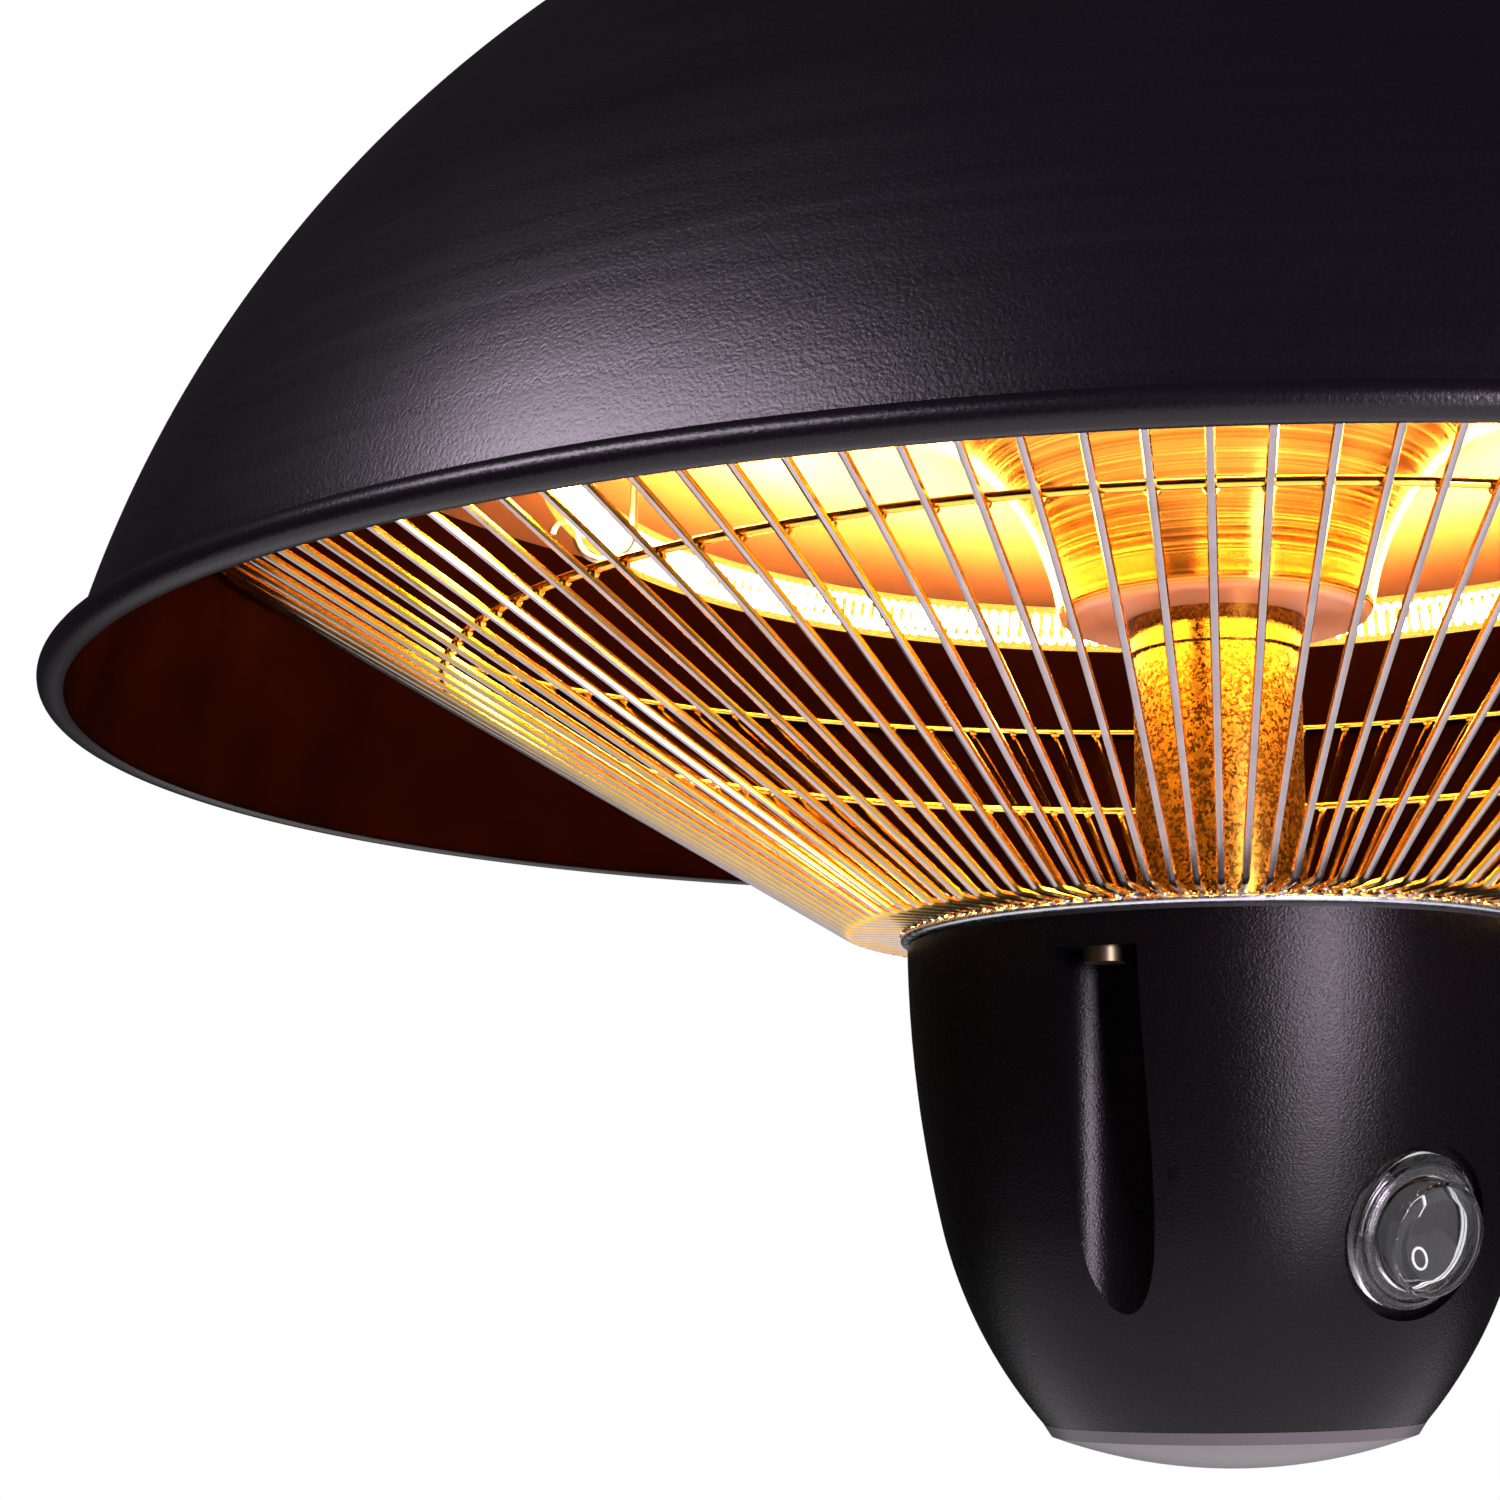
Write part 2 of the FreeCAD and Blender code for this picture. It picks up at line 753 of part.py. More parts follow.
def pipe(edges, radius):
    """A round bar along joined edges."""
    path = Part.Wire(edges)
    first = edges[0]
    start = first.valueAt(first.FirstParameter)
    heading = first.tangentAt(first.FirstParameter)
    ring = Part.Wire([Part.Circle(start, heading, radius).toShape()])
    return path.makePipeShell([ring], True, False)


def make_lamp_tube():
    edges = lamp_path()
    outer = pipe(edges, S.lamp_tube_radius.value)
    inner = pipe(edges, (S.lamp_tube_radius - S.lamp_tube_wall).value)
    shaped("lamp_tube", outer.cut(inner))


def tangent_arc(start, stop, heading, leaving):
    """The arc between two points that leaves the first, or reaches the second, along a heading."""
    chord = stop - start
    along = chord / chord.Length
    side = heading - along * heading.dot(along)
    lean = math.atan2(side.Length, heading.dot(along))
    bow = side / side.Length * (chord.Length / 2 * math.tan(lean / 2))
    middle = (start + stop) / 2
    middle = middle + bow if leaving else middle - bow
    return Part.Arc(start, middle, stop).toShape()


def biarc(start, start_heading, stop, stop_heading):
    """Two arcs that meet smoothly between two points with given headings."""
    span = stop - start
    total = start_heading + stop_heading
    spread = 2 * (1 - start_heading.dot(stop_heading))
    reach = (-span.dot(total) + math.sqrt(span.dot(total) ** 2 + spread * span.dot(span))) / spread
    joint = (start + start_heading * reach + stop - stop_heading * reach) / 2
    return [
        tangent_arc(start, joint, start_heading, True),
        tangent_arc(joint, stop, stop_heading, False),
    ]


def make_lamp_filament():
    """One coiled wire round the lamp's ring, as biarcs of half a turn."""
    first, last = lamp_angles()
    turns = round(S.filament_turns.value)
    coil = (S.filament_outer_radius - S.filament_wire_radius).value
    ring = S.lamp_ring_radius.value
    level = S.lamp_level.value

    def place(share):
        angle = first + (last - first) * share
        phase = 2 * math.pi * turns * share
        reach = ring + coil * math.cos(phase)
        return FreeCAD.Vector(
            reach * math.cos(angle), reach * math.sin(angle), level + coil * math.sin(phase)
        )

    def heading(share):
        step = 1e-6
        run = place(share + step) - place(share - step)
        return run / run.Length

    steps = turns * 2
    edges = []
    for index in range(steps):
        a = index / steps
        b = (index + 1) / steps
        edges.extend(biarc(place(a), heading(a), place(b), heading(b)))
    lead = 2 * S.filament_wire_radius.value
    edges.insert(0, Part.LineSegment(place(0) - heading(0) * lead, place(0)).toShape())
    edges.append(Part.LineSegment(place(1), place(1) + heading(1) * lead).toShape())
    shaped("lamp_filament", pipe(edges, S.filament_wire_radius.value))

    samples = 24
    points = [place(k / (turns * samples)) for k in range(turns * samples + 1)]
    nearest = min(
        (points[k] - points[other]).Length
        for k in range(0, samples * 2)
        for other in range(k + samples // 2, k + samples * 2)
    )
    print(f"filament: {turns} curls, least gap {nearest - 2 * S.filament_wire_radius.value:.2f} mm")


def make_lamp_end_caps():
    caps = []
    for side in (-1, 1):
        x, y = lamp_end_place(side)
        low = plate_top + S.fit
        solid = cylinder("end_cap_solid", S.end_cap_radius, low, low + S.end_cap_height, x, y)
        socket = cylinder(
            "end_cap_socket",
            S.lamp_tube_radius + S.fit,
            low - S.loose,
            plate_top + S.end_cap_socket + S.fit,
            x,
            y,
        )
        caps.append(cut("end_cap_cut", solid, [socket]))
    group = doc.addObject("Part::Compound", "end_cap_pair")
    group.Links = caps
    settle(group, "lamp_end_caps")


def make_lamp_clips():
    """Hooks of bent wire: down from the plate inside the ring, under the tube and out into a curl."""
    wire = S.clip_wire_radius.value
    hook = (S.lamp_tube_radius + S.clip_wire_radius + S.loose).value
    ring = S.lamp_ring_radius.value
    level = S.lamp_level.value
    curl = S.clip_curl_radius.value

    def at(reach, height):
        return FreeCAD.Vector(reach, 0, height)

    edges = [
        Part.LineSegment(at(ring - hook, S.plate_level.value - S.fit.value), at(ring - hook, level)).toShape(),
        Part.Arc(at(ring - hook, level), at(ring, level - hook), at(ring + hook, level)).toShape(),
        Part.Arc(
            at(ring + hook, level), at(ring + hook + curl, level + curl), at(ring + hook + 2 * curl, level)
        ).toShape(),
    ]
    clip = pipe(edges, wire)
    clips = []
    for angle in CLIP_ANGLES:
        turned_clip = clip.copy()
        turned_clip.rotate(FreeCAD.Vector(), FreeCAD.Vector(0, 0, 1), angle)
        clips.append(turned_clip)
    shaped("lamp_clips", Part.makeCompound(clips))


# Centre tube and wire guard.


def make_centre_tube():
    inner = S.tube_radius - S.tube_wall
    settle(
        turned("centre_tube", ring_outline(inner, S.tube_radius, S.flange_level, S.cone_foot_level)),
        "centre_tube",
    )
    low = S.cone_foot_level - S.collar_height
    outline = ring_outline(S.tube_radius + S.fit, S.collar_radius, low, S.cone_foot_level - S.fit)
    settle(turned("tube_collar", outline), "tube_collar")


def guard_level(radius):
    """Height of a spoke's centre line at a radius."""
    return spoke_level + (radius - S.spoke_bend_place) * guard_rise


# The top hoop lies where the guard's slope comes within its gap of the shade's inner face.
guard_rise = tangent(S.guard_slope)
hoop_lift = (S.spoke_radius + S.ring_radius + S.fit) / cosine(S.guard_slope)
hoop_reach = dome_radius - S.shade_sheet - S.top_ring_gap
slope_start = spoke_level - S.spoke_bend_place * guard_rise + hoop_lift - dome_centre
slope_length = 1 + guard_rise * guard_rise
top_ring_radius = (
    root(slope_length * hoop_reach * hoop_reach - slope_start * slope_start) - guard_rise * slope_start
) / slope_length
spoke_tip_radius = top_ring_radius + S.spoke_overhang


def make_grille_spokes():
    slope = math.radians(S.guard_slope.value)
    level = spoke_level.value
    bend = S.spoke_bend_radius.value
    corner = S.spoke_bend_place.value
    trim = bend * math.tan(slope / 2)

    def at(reach, height):
        return FreeCAD.Vector(reach, 0, height)

    foot = at(S.spoke_foot_radius.value, level)
    bend_start = at(corner - trim, level)
    bend_end = at(corner + trim * math.cos(slope), level + trim * math.sin(slope))
    bend_mid = at(
        corner - trim + bend * math.sin(slope / 2), level + bend * (1 - math.cos(slope / 2))
    )
    tip = at(spoke_tip_radius.value, guard_level(spoke_tip_radius).value)
    edges = [
        Part.LineSegment(foot, bend_start).toShape(),
        Part.Arc(bend_start, bend_mid, bend_end).toShape(),
        Part.LineSegment(bend_end, tip).toShape(),
    ]
    spoke = pipe(edges, S.spoke_radius.value)
    count = round(S.spoke_count.value)
    spokes = []
    for index in range(count):
        wire = spoke.copy()
        wire.rotate(FreeCAD.Vector(), FreeCAD.Vector(0, 0, 1), 360.0 * index / count)
        spokes.append(wire)
    shaped("grille_spokes", Part.makeCompound(spokes))


def make_grille_rings():
    for name, radius in (("grille_mid_ring", S.mid_ring_radius), ("grille_top_ring", top_ring_radius)):
        hoop = doc.addObject("Part::Torus", name)
        bind(hoop, Radius1=radius, Radius2=S.ring_radius)
        settle(hoop, name, level=guard_level(radius) + hoop_lift)


def make_grille_flange():
    outline = ring_outline(rod_hole_radius, S.flange_radius, flange_bottom, S.flange_level)
    plate = turned("flange_plate", outline)
    holes = screw_holes("flange_hole", S.screw_radius + S.fit, flange_bottom, S.flange_level)
    holes += [lead_hole("flange_lead_hole", side, flange_bottom, S.flange_level) for side in (-1, 1)]
    settle(cut("flange_cut", plate, holes), "grille_flange")


def screw_holes(name, radius, low, high):
    holes = []
    for angle in CHANNEL_ANGLES:
        x, y = around(angle, S.screw_circle)
        holes.append(cylinder(name, radius, low - S.loose, high + S.loose, x, y))
    return holes


# Switch cup.


def make_housing_gasket():
    outer = S.cup_top_radius - S.gasket_margin
    outline = ring_outline(outer - S.gasket_width, outer, cup_top, flange_bottom)
    ring = turned("gasket_ring", outline)
    holes = screw_holes("gasket_hole", S.screw_radius + S.loose, cup_top, flange_bottom)
    settle(cut("gasket_cut", ring, holes), "housing_gasket")


def cup_outline(inset, floor):
    """Half outline of the cup, moved in by a wall and closed by a floor."""
    knee = cup_top - S.cup_knee_drop
    return [
        (ZERO, cup_top),
        (ZERO, cup_bottom + floor),
        (S.cup_seam_radius - inset / 2, cup_bottom + floor),
        (S.cup_knee_radius - inset, knee, S.cup_lower_bulge, 1),
        (S.cup_top_radius - inset, cup_top, S.cup_upper_bulge, 1),
    ]


def at_switch(obj, low):
    """Stand a piece on the switch's panel, its local up pointing out of the cup."""
    reach = S.switch_surface_radius - S.switch_sink * cosine(S.switch_tilt)
    level = switch_level + S.switch_sink * sine(S.switch_tilt)
    turn = FreeCAD.Rotation(FreeCAD.Vector(1, 0, 0), 90 + S.switch_tilt.value)
    obj.Placement = FreeCAD.Placement(FreeCAD.Vector(), turn)
    bind(obj, Placement_Rotation_Angle=90 + S.switch_tilt)
    bind(
        obj,
        Placement_Base_x=ZERO,
        Placement_Base_y=-reach - low * cosine(S.switch_tilt),
        Placement_Base_z=level - low * sine(S.switch_tilt),
    )
    return obj


def panel_cylinder(name, radius, low, high):
    return at_switch(cylinder(name, radius, low, high), low)


def make_switch_housing():
    outer = turned("cup_outer", cup_outline(ZERO, ZERO))
    cavity = turned("cup_cavity", cup_outline(S.cup_wall, S.cup_floor))
    shell = cut("cup_shell", outer, [cavity])
    boss_radius = S.channel_radius + S.cup_wall
    bosses = []
    channels = []
    for angle in CHANNEL_ANGLES:
        x, y = around(angle, S.channel_circle)
        bosses.append(cylinder("channel_boss", boss_radius, cup_bottom, cup_top, x, y))
        channels.append(
            cylinder(
                "channel", S.channel_radius, cup_bottom - S.cup_wall, cup_top - S.channel_roof, x, y
            )
        )
    bosses.append(
        panel_cylinder("switch_boss", S.recess_radius + S.panel_rim, -S.panel_thickness, S.recess_reach)
    )
    walls = common("cup_walls", fuse("cup_bosses", bosses), outer)
    solid = fuse("cup_solid", [shell, walls])
    holes = screw_holes(
        "cup_screw_hole", S.screw_radius + S.loose, cup_top - S.channel_roof, cup_top
    )
    recess = panel_cylinder("switch_recess", S.recess_radius, ZERO, S.recess_reach)
    panel_hole = panel_cylinder(
        "panel_hole", S.barrel_radius + S.fit, -S.panel_thickness - S.loose, S.loose
    )
    opening = cylinder(
        "cap_opening", S.cap_opening_radius, cup_bottom - S.loose, cup_bottom + S.cup_floor + S.loose
    )
    settle(cut("cup_cut", solid, channels + holes + [recess, panel_hole, opening]), "switch_housing")


def make_housing_screws():
    screws = []
    seat = cup_top - S.channel_roof
    for angle in CHANNEL_ANGLES:
        x, y = around(angle, S.screw_circle)
        head = cylinder("screw_head", S.screw_head_radius, seat - S.screw_head_height, seat, x, y)
        shank = cylinder("screw_shank", S.screw_radius, seat, S.flange_level + S.screw_tail, x, y)
        screws.append(fuse("screw", [head, shank]))
    group = doc.addObject("Part::Compound", "screw_set")
    group.Links = screws
    settle(group, "housing_screws")


def make_bottom_cap():
    band_low = cup_bottom - S.cap_band_height
    rim = S.cup_seam_radius - S.cap_band_draft
    belly = (rim * rim + S.cap_belly * S.cap_belly) / (2 * S.cap_belly)
    inner_belly = belly - S.cap_wall
    spigot = S.cap_opening_radius - S.loose
    spigot_inner = spigot - S.cap_wall
    inner_low = band_low - S.cap_belly + belly - root(inner_belly * inner_belly - spigot_inner * spigot_inner)
    outline = [
        (ZERO, band_low - S.cap_belly),
        (rim, band_low, belly, 1),
        (S.cup_seam_radius, cup_bottom - S.fit),
        (spigot, cup_bottom - S.fit),
        (spigot, cup_bottom + S.cap_spigot_height),
        (spigot_inner, cup_bottom + S.cap_spigot_height),
        (spigot_inner, inner_low),
        (ZERO, band_low - S.cap_belly + S.cap_wall, inner_belly, -1),
    ]
    settle(turned("bottom_cap", outline), "bottom_cap")


# Switch, modelled on its panel and then tilted into place.


def settle_at_switch(obj, label):
    at_switch(obj, ZERO)
    level = switch_level + S.switch_sink * sine(S.switch_tilt)
    bind(obj, Placement_Base_z=level - eye_level)
    obj.Label = label
    PIECES.append(obj)


def pivot_cylinder(name, radius, length):
    """A cylinder along X through the rocker's pivot."""
    obj = cylinder(name, radius, ZERO, length)
    obj.Placement = FreeCAD.Placement(
        FreeCAD.Vector(), FreeCAD.Rotation(FreeCAD.Vector(0, 1, 0), 90)
    )
    bind(obj, Placement_Base_x=-length / 2, Placement_Base_z=S.rocker_pivot_height)
    return obj


def make_switch_body():
    barrel = cylinder("barrel", S.barrel_radius, -S.barrel_length, S.bezel_height)
    bezel = cylinder("bezel", S.bezel_radius, ZERO, S.bezel_height)
    wing_low = -S.panel_thickness - S.fit - S.wing_length
    wings = box(
        "wings",
        (-S.barrel_radius - S.wing_reach, -S.wing_width / 2, wing_low),
        (S.barrel_radius + S.wing_reach, S.wing_width / 2, -S.panel_thickness - S.fit),
    )
    solid = fuse("switch_solid", [barrel, bezel, wings])
    pocket = cylinder("pocket", S.pocket_radius, S.bezel_height - S.pocket_depth, S.bezel_height + S.loose)
    bearing = pivot_cylinder(
        "pivot_bearing", S.pivot_pin_radius + S.fit, 2 * (S.pivot_pin_reach + S.fit)
    )
    settle_at_switch(cut("switch_body_cut", solid, [pocket, bearing]), "switch_body")


def make_rocker():
    """A ball with a flat back and a face bent at the pivot: the half below stands out while it is on."""
    ball = doc.addObject("Part::Sphere", "rocker_ball")
    bind(ball, Radius=S.rocker_radius, Placement_Base_z=S.rocker_pivot_height)
    pin = pivot_cylinder("pivot_pin", S.pivot_pin_radius, 2 * S.pivot_pin_reach)
    face = S.rocker_pivot_height + S.rocker_face_height
    back = S.rocker_pivot_height - S.rocker_back_depth
    reach = S.rocker_radius * 2
    rear = box("rocker_rear", (-reach, -reach, back - reach), (reach, reach, back))
    upper = box("rocker_upper", (-reach, ZERO, face), (reach, reach, face + reach))
    lower = doc.addObject("Part::Box", "rocker_lower")
    bind(lower, Length=reach * 2, Width=reach, Height=reach)
    lower.Placement = FreeCAD.Placement(
        FreeCAD.Vector(), FreeCAD.Rotation(FreeCAD.Vector(-1, 0, 0), S.rocker_throw.value)
    )
    bind(
        lower,
        Placement_Rotation_Angle=S.rocker_throw,
        Placement_Base_x=-reach,
        Placement_Base_y=-reach * cosine(S.rocker_throw),
        Placement_Base_z=face + reach * sine(S.rocker_throw),
    )
    trimmed = cut("rocker_trimmed", ball, [rear, upper, lower])
    settle_at_switch(fuse("rocker_solid", [trimmed, pin]), "rocker")


def make_switch_boot():
    skirt = S.bezel_radius + S.boot_fit
    shelf = S.bezel_height + S.boot_fit
    cap_inner = S.boot_cap_radius - S.boot_wall
    outline = [
        (skirt, S.fit),
        (S.boot_radius, S.fit),
        (S.boot_radius, S.bezel_height),
        (S.boot_radius - S.boot_wall, shelf + S.boot_wall, S.boot_shoulder_round, 1),
        (S.boot_cap_radius, shelf + S.boot_wall),
        (S.boot_cap_radius, S.boot_cap_height - S.boot_round),
        (S.boot_cap_radius - S.boot_round, S.boot_cap_height, S.boot_round, 1),
        (ZERO, S.boot_cap_height),
        (ZERO, S.boot_cap_height - S.boot_wall),
        (cap_inner, S.boot_cap_height - S.boot_wall),
        (cap_inner, shelf),
        (skirt, shelf),
    ]
    settle_at_switch(turned("switch_boot", outline), "switch_boot")


def make_switch_terminals():
    blades = []
    for side in (-1, 1):
        middle = S.blade_spacing / 2 * side
        blades.append(
            box(
                "blade",
                (-S.blade_width / 2, middle - S.blade_thickness / 2, -S.barrel_length - S.blade_length),
                (S.blade_width / 2, middle + S.blade_thickness / 2, -S.barrel_length),
            )
        )
    group = doc.addObject("Part::Compound", "blade_pair")
    group.Links = blades
    settle_at_switch(group, "switch_terminals")


# Inner wiring.


def block_screw_place(index):
    """X of one terminal of the block, counted from the left."""
    return S.block_screw_pitch * (index - (BLOCK_SCREW_COUNT - 1) / 2)


def make_terminal_block():
    low = (-S.block_length / 2, -S.block_centre - S.block_depth / 2, plate_top)
    high = (S.block_length / 2, -S.block_centre + S.block_depth / 2, plate_top + S.block_height)
    block = box("block_solid", low, high)
    holes = []
    screws = []
    top = plate_top + S.block_height
    for index in range(BLOCK_SCREW_COUNT):
        x = block_screw_place(index)
        y = -S.block_centre + S.block_row
        floor = top - S.block_screw_depth
        holes.append(cylinder("block_hole", S.block_screw_radius + S.fit, floor, top + S.loose, x, y))
        screws.append(cylinder("block_screw", S.block_screw_radius, floor, top - S.loose, x, y))
    settle(cut("block_cut", block, holes), "terminal_block")
    group = doc.addObject("Part::Compound", "block_screw_set")
    group.Links = screws
    settle(group, "terminal_screws")


def rounded_run(points, radius):
    """Straight runs through points, each corner turned by an arc of one radius."""
    edges = []
    start = points[0]
    for before, corner, after in zip(points, points[1:], points[2:]):
        came = (corner - before).normalize()
        goes = (after - corner).normalize()
        half = came.getAngle(goes) / 2
        trim = radius * math.tan(half)
        arc_start = corner - came * trim
        arc_end = corner + goes * trim
        inward = (goes - came).normalize()
        middle = corner + inward * (radius / math.cos(half) - radius)
        edges.append(Part.LineSegment(start, arc_start).toShape())
        edges.append(Part.Arc(arc_start, middle, arc_end).toShape())
        start = arc_end
    edges.append(Part.LineSegment(start, points[-1]).toShape())
    return edges


def make_lamp_leads():
    """From the top of each ceramic cap, over and down into the terminal block."""
    leads = []
    top = (plate_top + S.block_height + S.fit).value
    cap = (plate_top + S.fit + S.end_cap_height).value + S.fit.value
    for side, terminal, rise in ((-1, 0, S.second_lead_arch), (1, 1, S.lead_arch)):
        x, y = lamp_end_place(side)
        arch = cap + rise.value
        block_x = block_screw_place(terminal)
        block_y = -S.block_centre - S.block_row
        points = [
            vector(x, y, cap),
            vector(x, y, arch),
            vector(block_x, block_y, arch),
            vector(block_x, block_y, top),
        ]
        leads.append(pipe(rounded_run(points, S.lead_bend_radius.value), S.lead_radius.value))
    shaped("lamp_leads", Part.makeCompound(leads))


def make_switch_leads():
    """From the terminal block into the sleeve, down the centre tube and across to the switch blades."""
    tilt = math.radians(S.switch_tilt.value)
    out = FreeCAD.Vector(0, -math.cos(tilt), -math.sin(tilt))
    up = FreeCAD.Vector(0, -math.sin(tilt), math.cos(tilt))
    reach = (S.switch_surface_radius - S.switch_sink * cosine(S.switch_tilt)).value
    level = (switch_level + S.switch_sink * sine(S.switch_tilt)).value
    panel = FreeCAD.Vector(0, -reach, level)
    leads = []
    for side in (-1, 1):
        x = (S.lead_spacing / 2 * side).value
        blade = panel + up * (-side * S.blade_spacing.value / 2)
        blade = blade - out * (S.barrel_length + S.blade_length + S.fit).value
        blade.x = x
        run = (-S.lead_circle.value - blade.y) / math.cos(tilt)
        corner = blade - out * run
        points = [
            vector(x, -S.block_centre + S.block_depth / 2 + S.fit, S.lead_level),
            vector(x, -S.lead_circle, S.lead_level),
            corner,
            blade,
        ]
        leads.append(pipe(rounded_run(points, S.lead_bend_radius.value), S.lead_radius.value))
    shaped("switch_leads", Part.makeCompound(leads))


def make_all():
    make_hanging_eye()
    make_top_cap()
    make_gland()
    make_shade()
    make_grommet()
    make_tie_rod()
    make_rod_hardware()
    make_spacer_sleeve()
    make_reflector()
    make_lamp_tube()
    make_lamp_filament()
    make_lamp_end_caps()
    make_lamp_clips()
    make_centre_tube()
    make_grille_spokes()
    make_grille_rings()
    make_grille_flange()
    make_housing_gasket()
    make_switch_housing()
    make_housing_screws()
    make_bottom_cap()
    make_switch_body()
    make_rocker()
    make_switch_boot()
    make_switch_terminals()
    make_terminal_block()
    make_lamp_leads()
    make_switch_leads()


def check_all():
    """Stop if anything failed to build or is not a valid shape."""
    for obj in doc.Objects:
        if "Invalid" in obj.State or "Error" in obj.State:
            raise RuntimeError(f"{obj.Name} ({obj.Label}) failed: {obj.State}")
    for piece in PIECES:
        if piece.Shape.isNull() or not piece.Shape.isValid() or not piece.Shape.Solids:
            raise RuntimeError(f"{piece.Label} is not a valid solid")


def write_all():
    os.makedirs("parts", exist_ok=True)
    for piece in PIECES:
        piece.Shape.exportStep(f"parts/{piece.Label}.step")
        print(f"{piece.Label}: {len(piece.Shape.Solids)} solids, {piece.Shape.Volume:.0f} mm3")


make_all()
doc.recompute()
check_all()
write_all()
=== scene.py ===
# %% [markdown]
# A hanging patio heater: a black spun shade, a ring lamp under a bright reflector, a guard of chromed
# wires and a black cup that carries the switch. The CAD frame gives every true size. This lesson dresses
# it: pieces whose finish needs smooth, dense surfaces are worked out again with numpy, and all others
# keep their solids.

import json
import math

import bmesh
import bpy
import numpy as np
from mathutils import Matrix


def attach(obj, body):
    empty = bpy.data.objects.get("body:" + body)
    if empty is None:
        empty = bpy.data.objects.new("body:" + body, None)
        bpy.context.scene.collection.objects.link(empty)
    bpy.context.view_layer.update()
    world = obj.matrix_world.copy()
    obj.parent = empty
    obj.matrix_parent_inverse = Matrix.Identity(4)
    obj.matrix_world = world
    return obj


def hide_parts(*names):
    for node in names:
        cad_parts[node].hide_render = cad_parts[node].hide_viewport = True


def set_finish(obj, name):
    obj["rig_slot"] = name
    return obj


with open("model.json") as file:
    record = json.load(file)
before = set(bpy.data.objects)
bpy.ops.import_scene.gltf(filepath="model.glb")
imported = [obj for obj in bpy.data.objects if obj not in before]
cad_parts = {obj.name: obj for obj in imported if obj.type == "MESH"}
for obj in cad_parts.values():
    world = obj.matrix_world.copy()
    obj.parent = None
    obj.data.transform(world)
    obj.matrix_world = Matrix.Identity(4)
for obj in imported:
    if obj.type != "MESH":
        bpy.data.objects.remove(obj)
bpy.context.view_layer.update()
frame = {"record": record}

# %% [markdown]
# Every height below is in millimetres above the plane of the shade's rolled lip, which is how a maker
# would measure it. The part's own origin is the hole of the hanging eye, so one function moves points
# there.

# %% From the lip's plane to the part's frame
EYE_ABOVE_LIP = 211.5
MM_PER_METRE = 1000.0


def in_frame(points):
    """Subtract the eye's height from z, then turn millimetres into metres."""
    return (np.asarray(points, float) - (0.0, 0.0, EYE_ABOVE_LIP)) / MM_PER_METRE


print(f"the lip lies at z = {in_frame((0, 0, 0))[2]:.4f} m")

# %% [markdown]
# Three array functions make nearly all shapes. A lathe turns an outline about the axis, as the real shade
# was spun. A bar carries a circle along a path, as wire is. A pip is a small lens, for a drop of weld.
# Each works on whole arrays, so a thousand points cost no more code than one.

# %% Surfaces from arrays
UP = np.array([0.0, 0.0, 1.0])


def outwards(turn):
    """The direction out of the axis at an angle: (cos a, sin a, 0)."""
    return np.stack([np.cos(turn), np.sin(turn), 0 * turn], -1)


def onwards(turn):
    """The direction round the axis at an angle: (-sin a, cos a, 0)."""
    return np.stack([-np.sin(turn), np.cos(turn), 0 * turn], -1)


def unit(vectors):
    return vectors / np.linalg.norm(vectors, axis=-1, keepdims=True)


def arc(centre, radius, start, stop, count):
    """(r, z) = centre + radius (cos t, sin t), with t in degrees from start to stop."""
    t = np.radians(np.linspace(start, stop, count))
    return np.stack([centre[0] + radius * np.cos(t), centre[1] + radius * np.sin(t)], -1)


def grid_quads(rows, cols, close_rows, close_cols):
    """Quad (i, j) joins grid points (i, j), (i+1, j), (i+1, j+1), (i, j+1); a closed side wraps round."""
    i = np.arange(rows if close_rows else rows - 1)
    j = np.arange(cols if close_cols else cols - 1)
    i, j = np.meshgrid(i, j, indexing="ij")
    below = (i + 1) % rows
    beside = (j + 1) % cols
    corners = [i * cols + j, below * cols + j, below * cols + beside, i * cols + beside]
    return np.stack(corners, -1).reshape(-1, 4)


def lathe(outline, steps):
    """Point (i, j) = (r_i cos a_j, r_i sin a_j, z_i), with a_j going once round the axis."""
    outline = np.asarray(outline, float)[:, None]
    turn = np.linspace(0, 2 * np.pi, steps, endpoint=False)
    points = outline[..., :1] * outwards(turn) + outline[..., 1:] * UP
    return points.reshape(-1, 3), grid_quads(len(outline), steps, True, True)


def bars(paths, across, radius, sides, closed=False):
    """Ring k of a bar is p_k + radius (cos b u_k + sin b v_k): u_k is the direction across, made square to
    the path's tangent t_k, and v_k = t_k x u_k. Open bars end in a ring of no size, which closes them."""
    paths = np.asarray(paths, float)
    if closed:
        run = np.roll(paths, -1, 1) - np.roll(paths, 1, 1)
    else:
        run = np.gradient(paths, axis=1)
    t = unit(run)
    across = np.broadcast_to(across, paths.shape)
    u = unit(across - t * (across * t).sum(-1, keepdims=True))
    v = np.cross(t, u)
    b = np.linspace(0, 2 * np.pi, sides, endpoint=False)[:, None]
    rings = paths[:, :, None] + radius * (np.cos(b) * u[:, :, None] + np.sin(b) * v[:, :, None])
    if not closed:
        ends = np.repeat(paths[:, :, None], sides, 2)
        rings = np.concatenate([ends[:, :1], rings, ends[:, -1:]], 1)
    count, rows = rings.shape[:2]
    quads = grid_quads(rows, sides, closed, True)
    shifts = np.arange(count)[:, None, None] * rows * sides
    return rings.reshape(-1, 3), (quads + shifts).reshape(-1, 4)


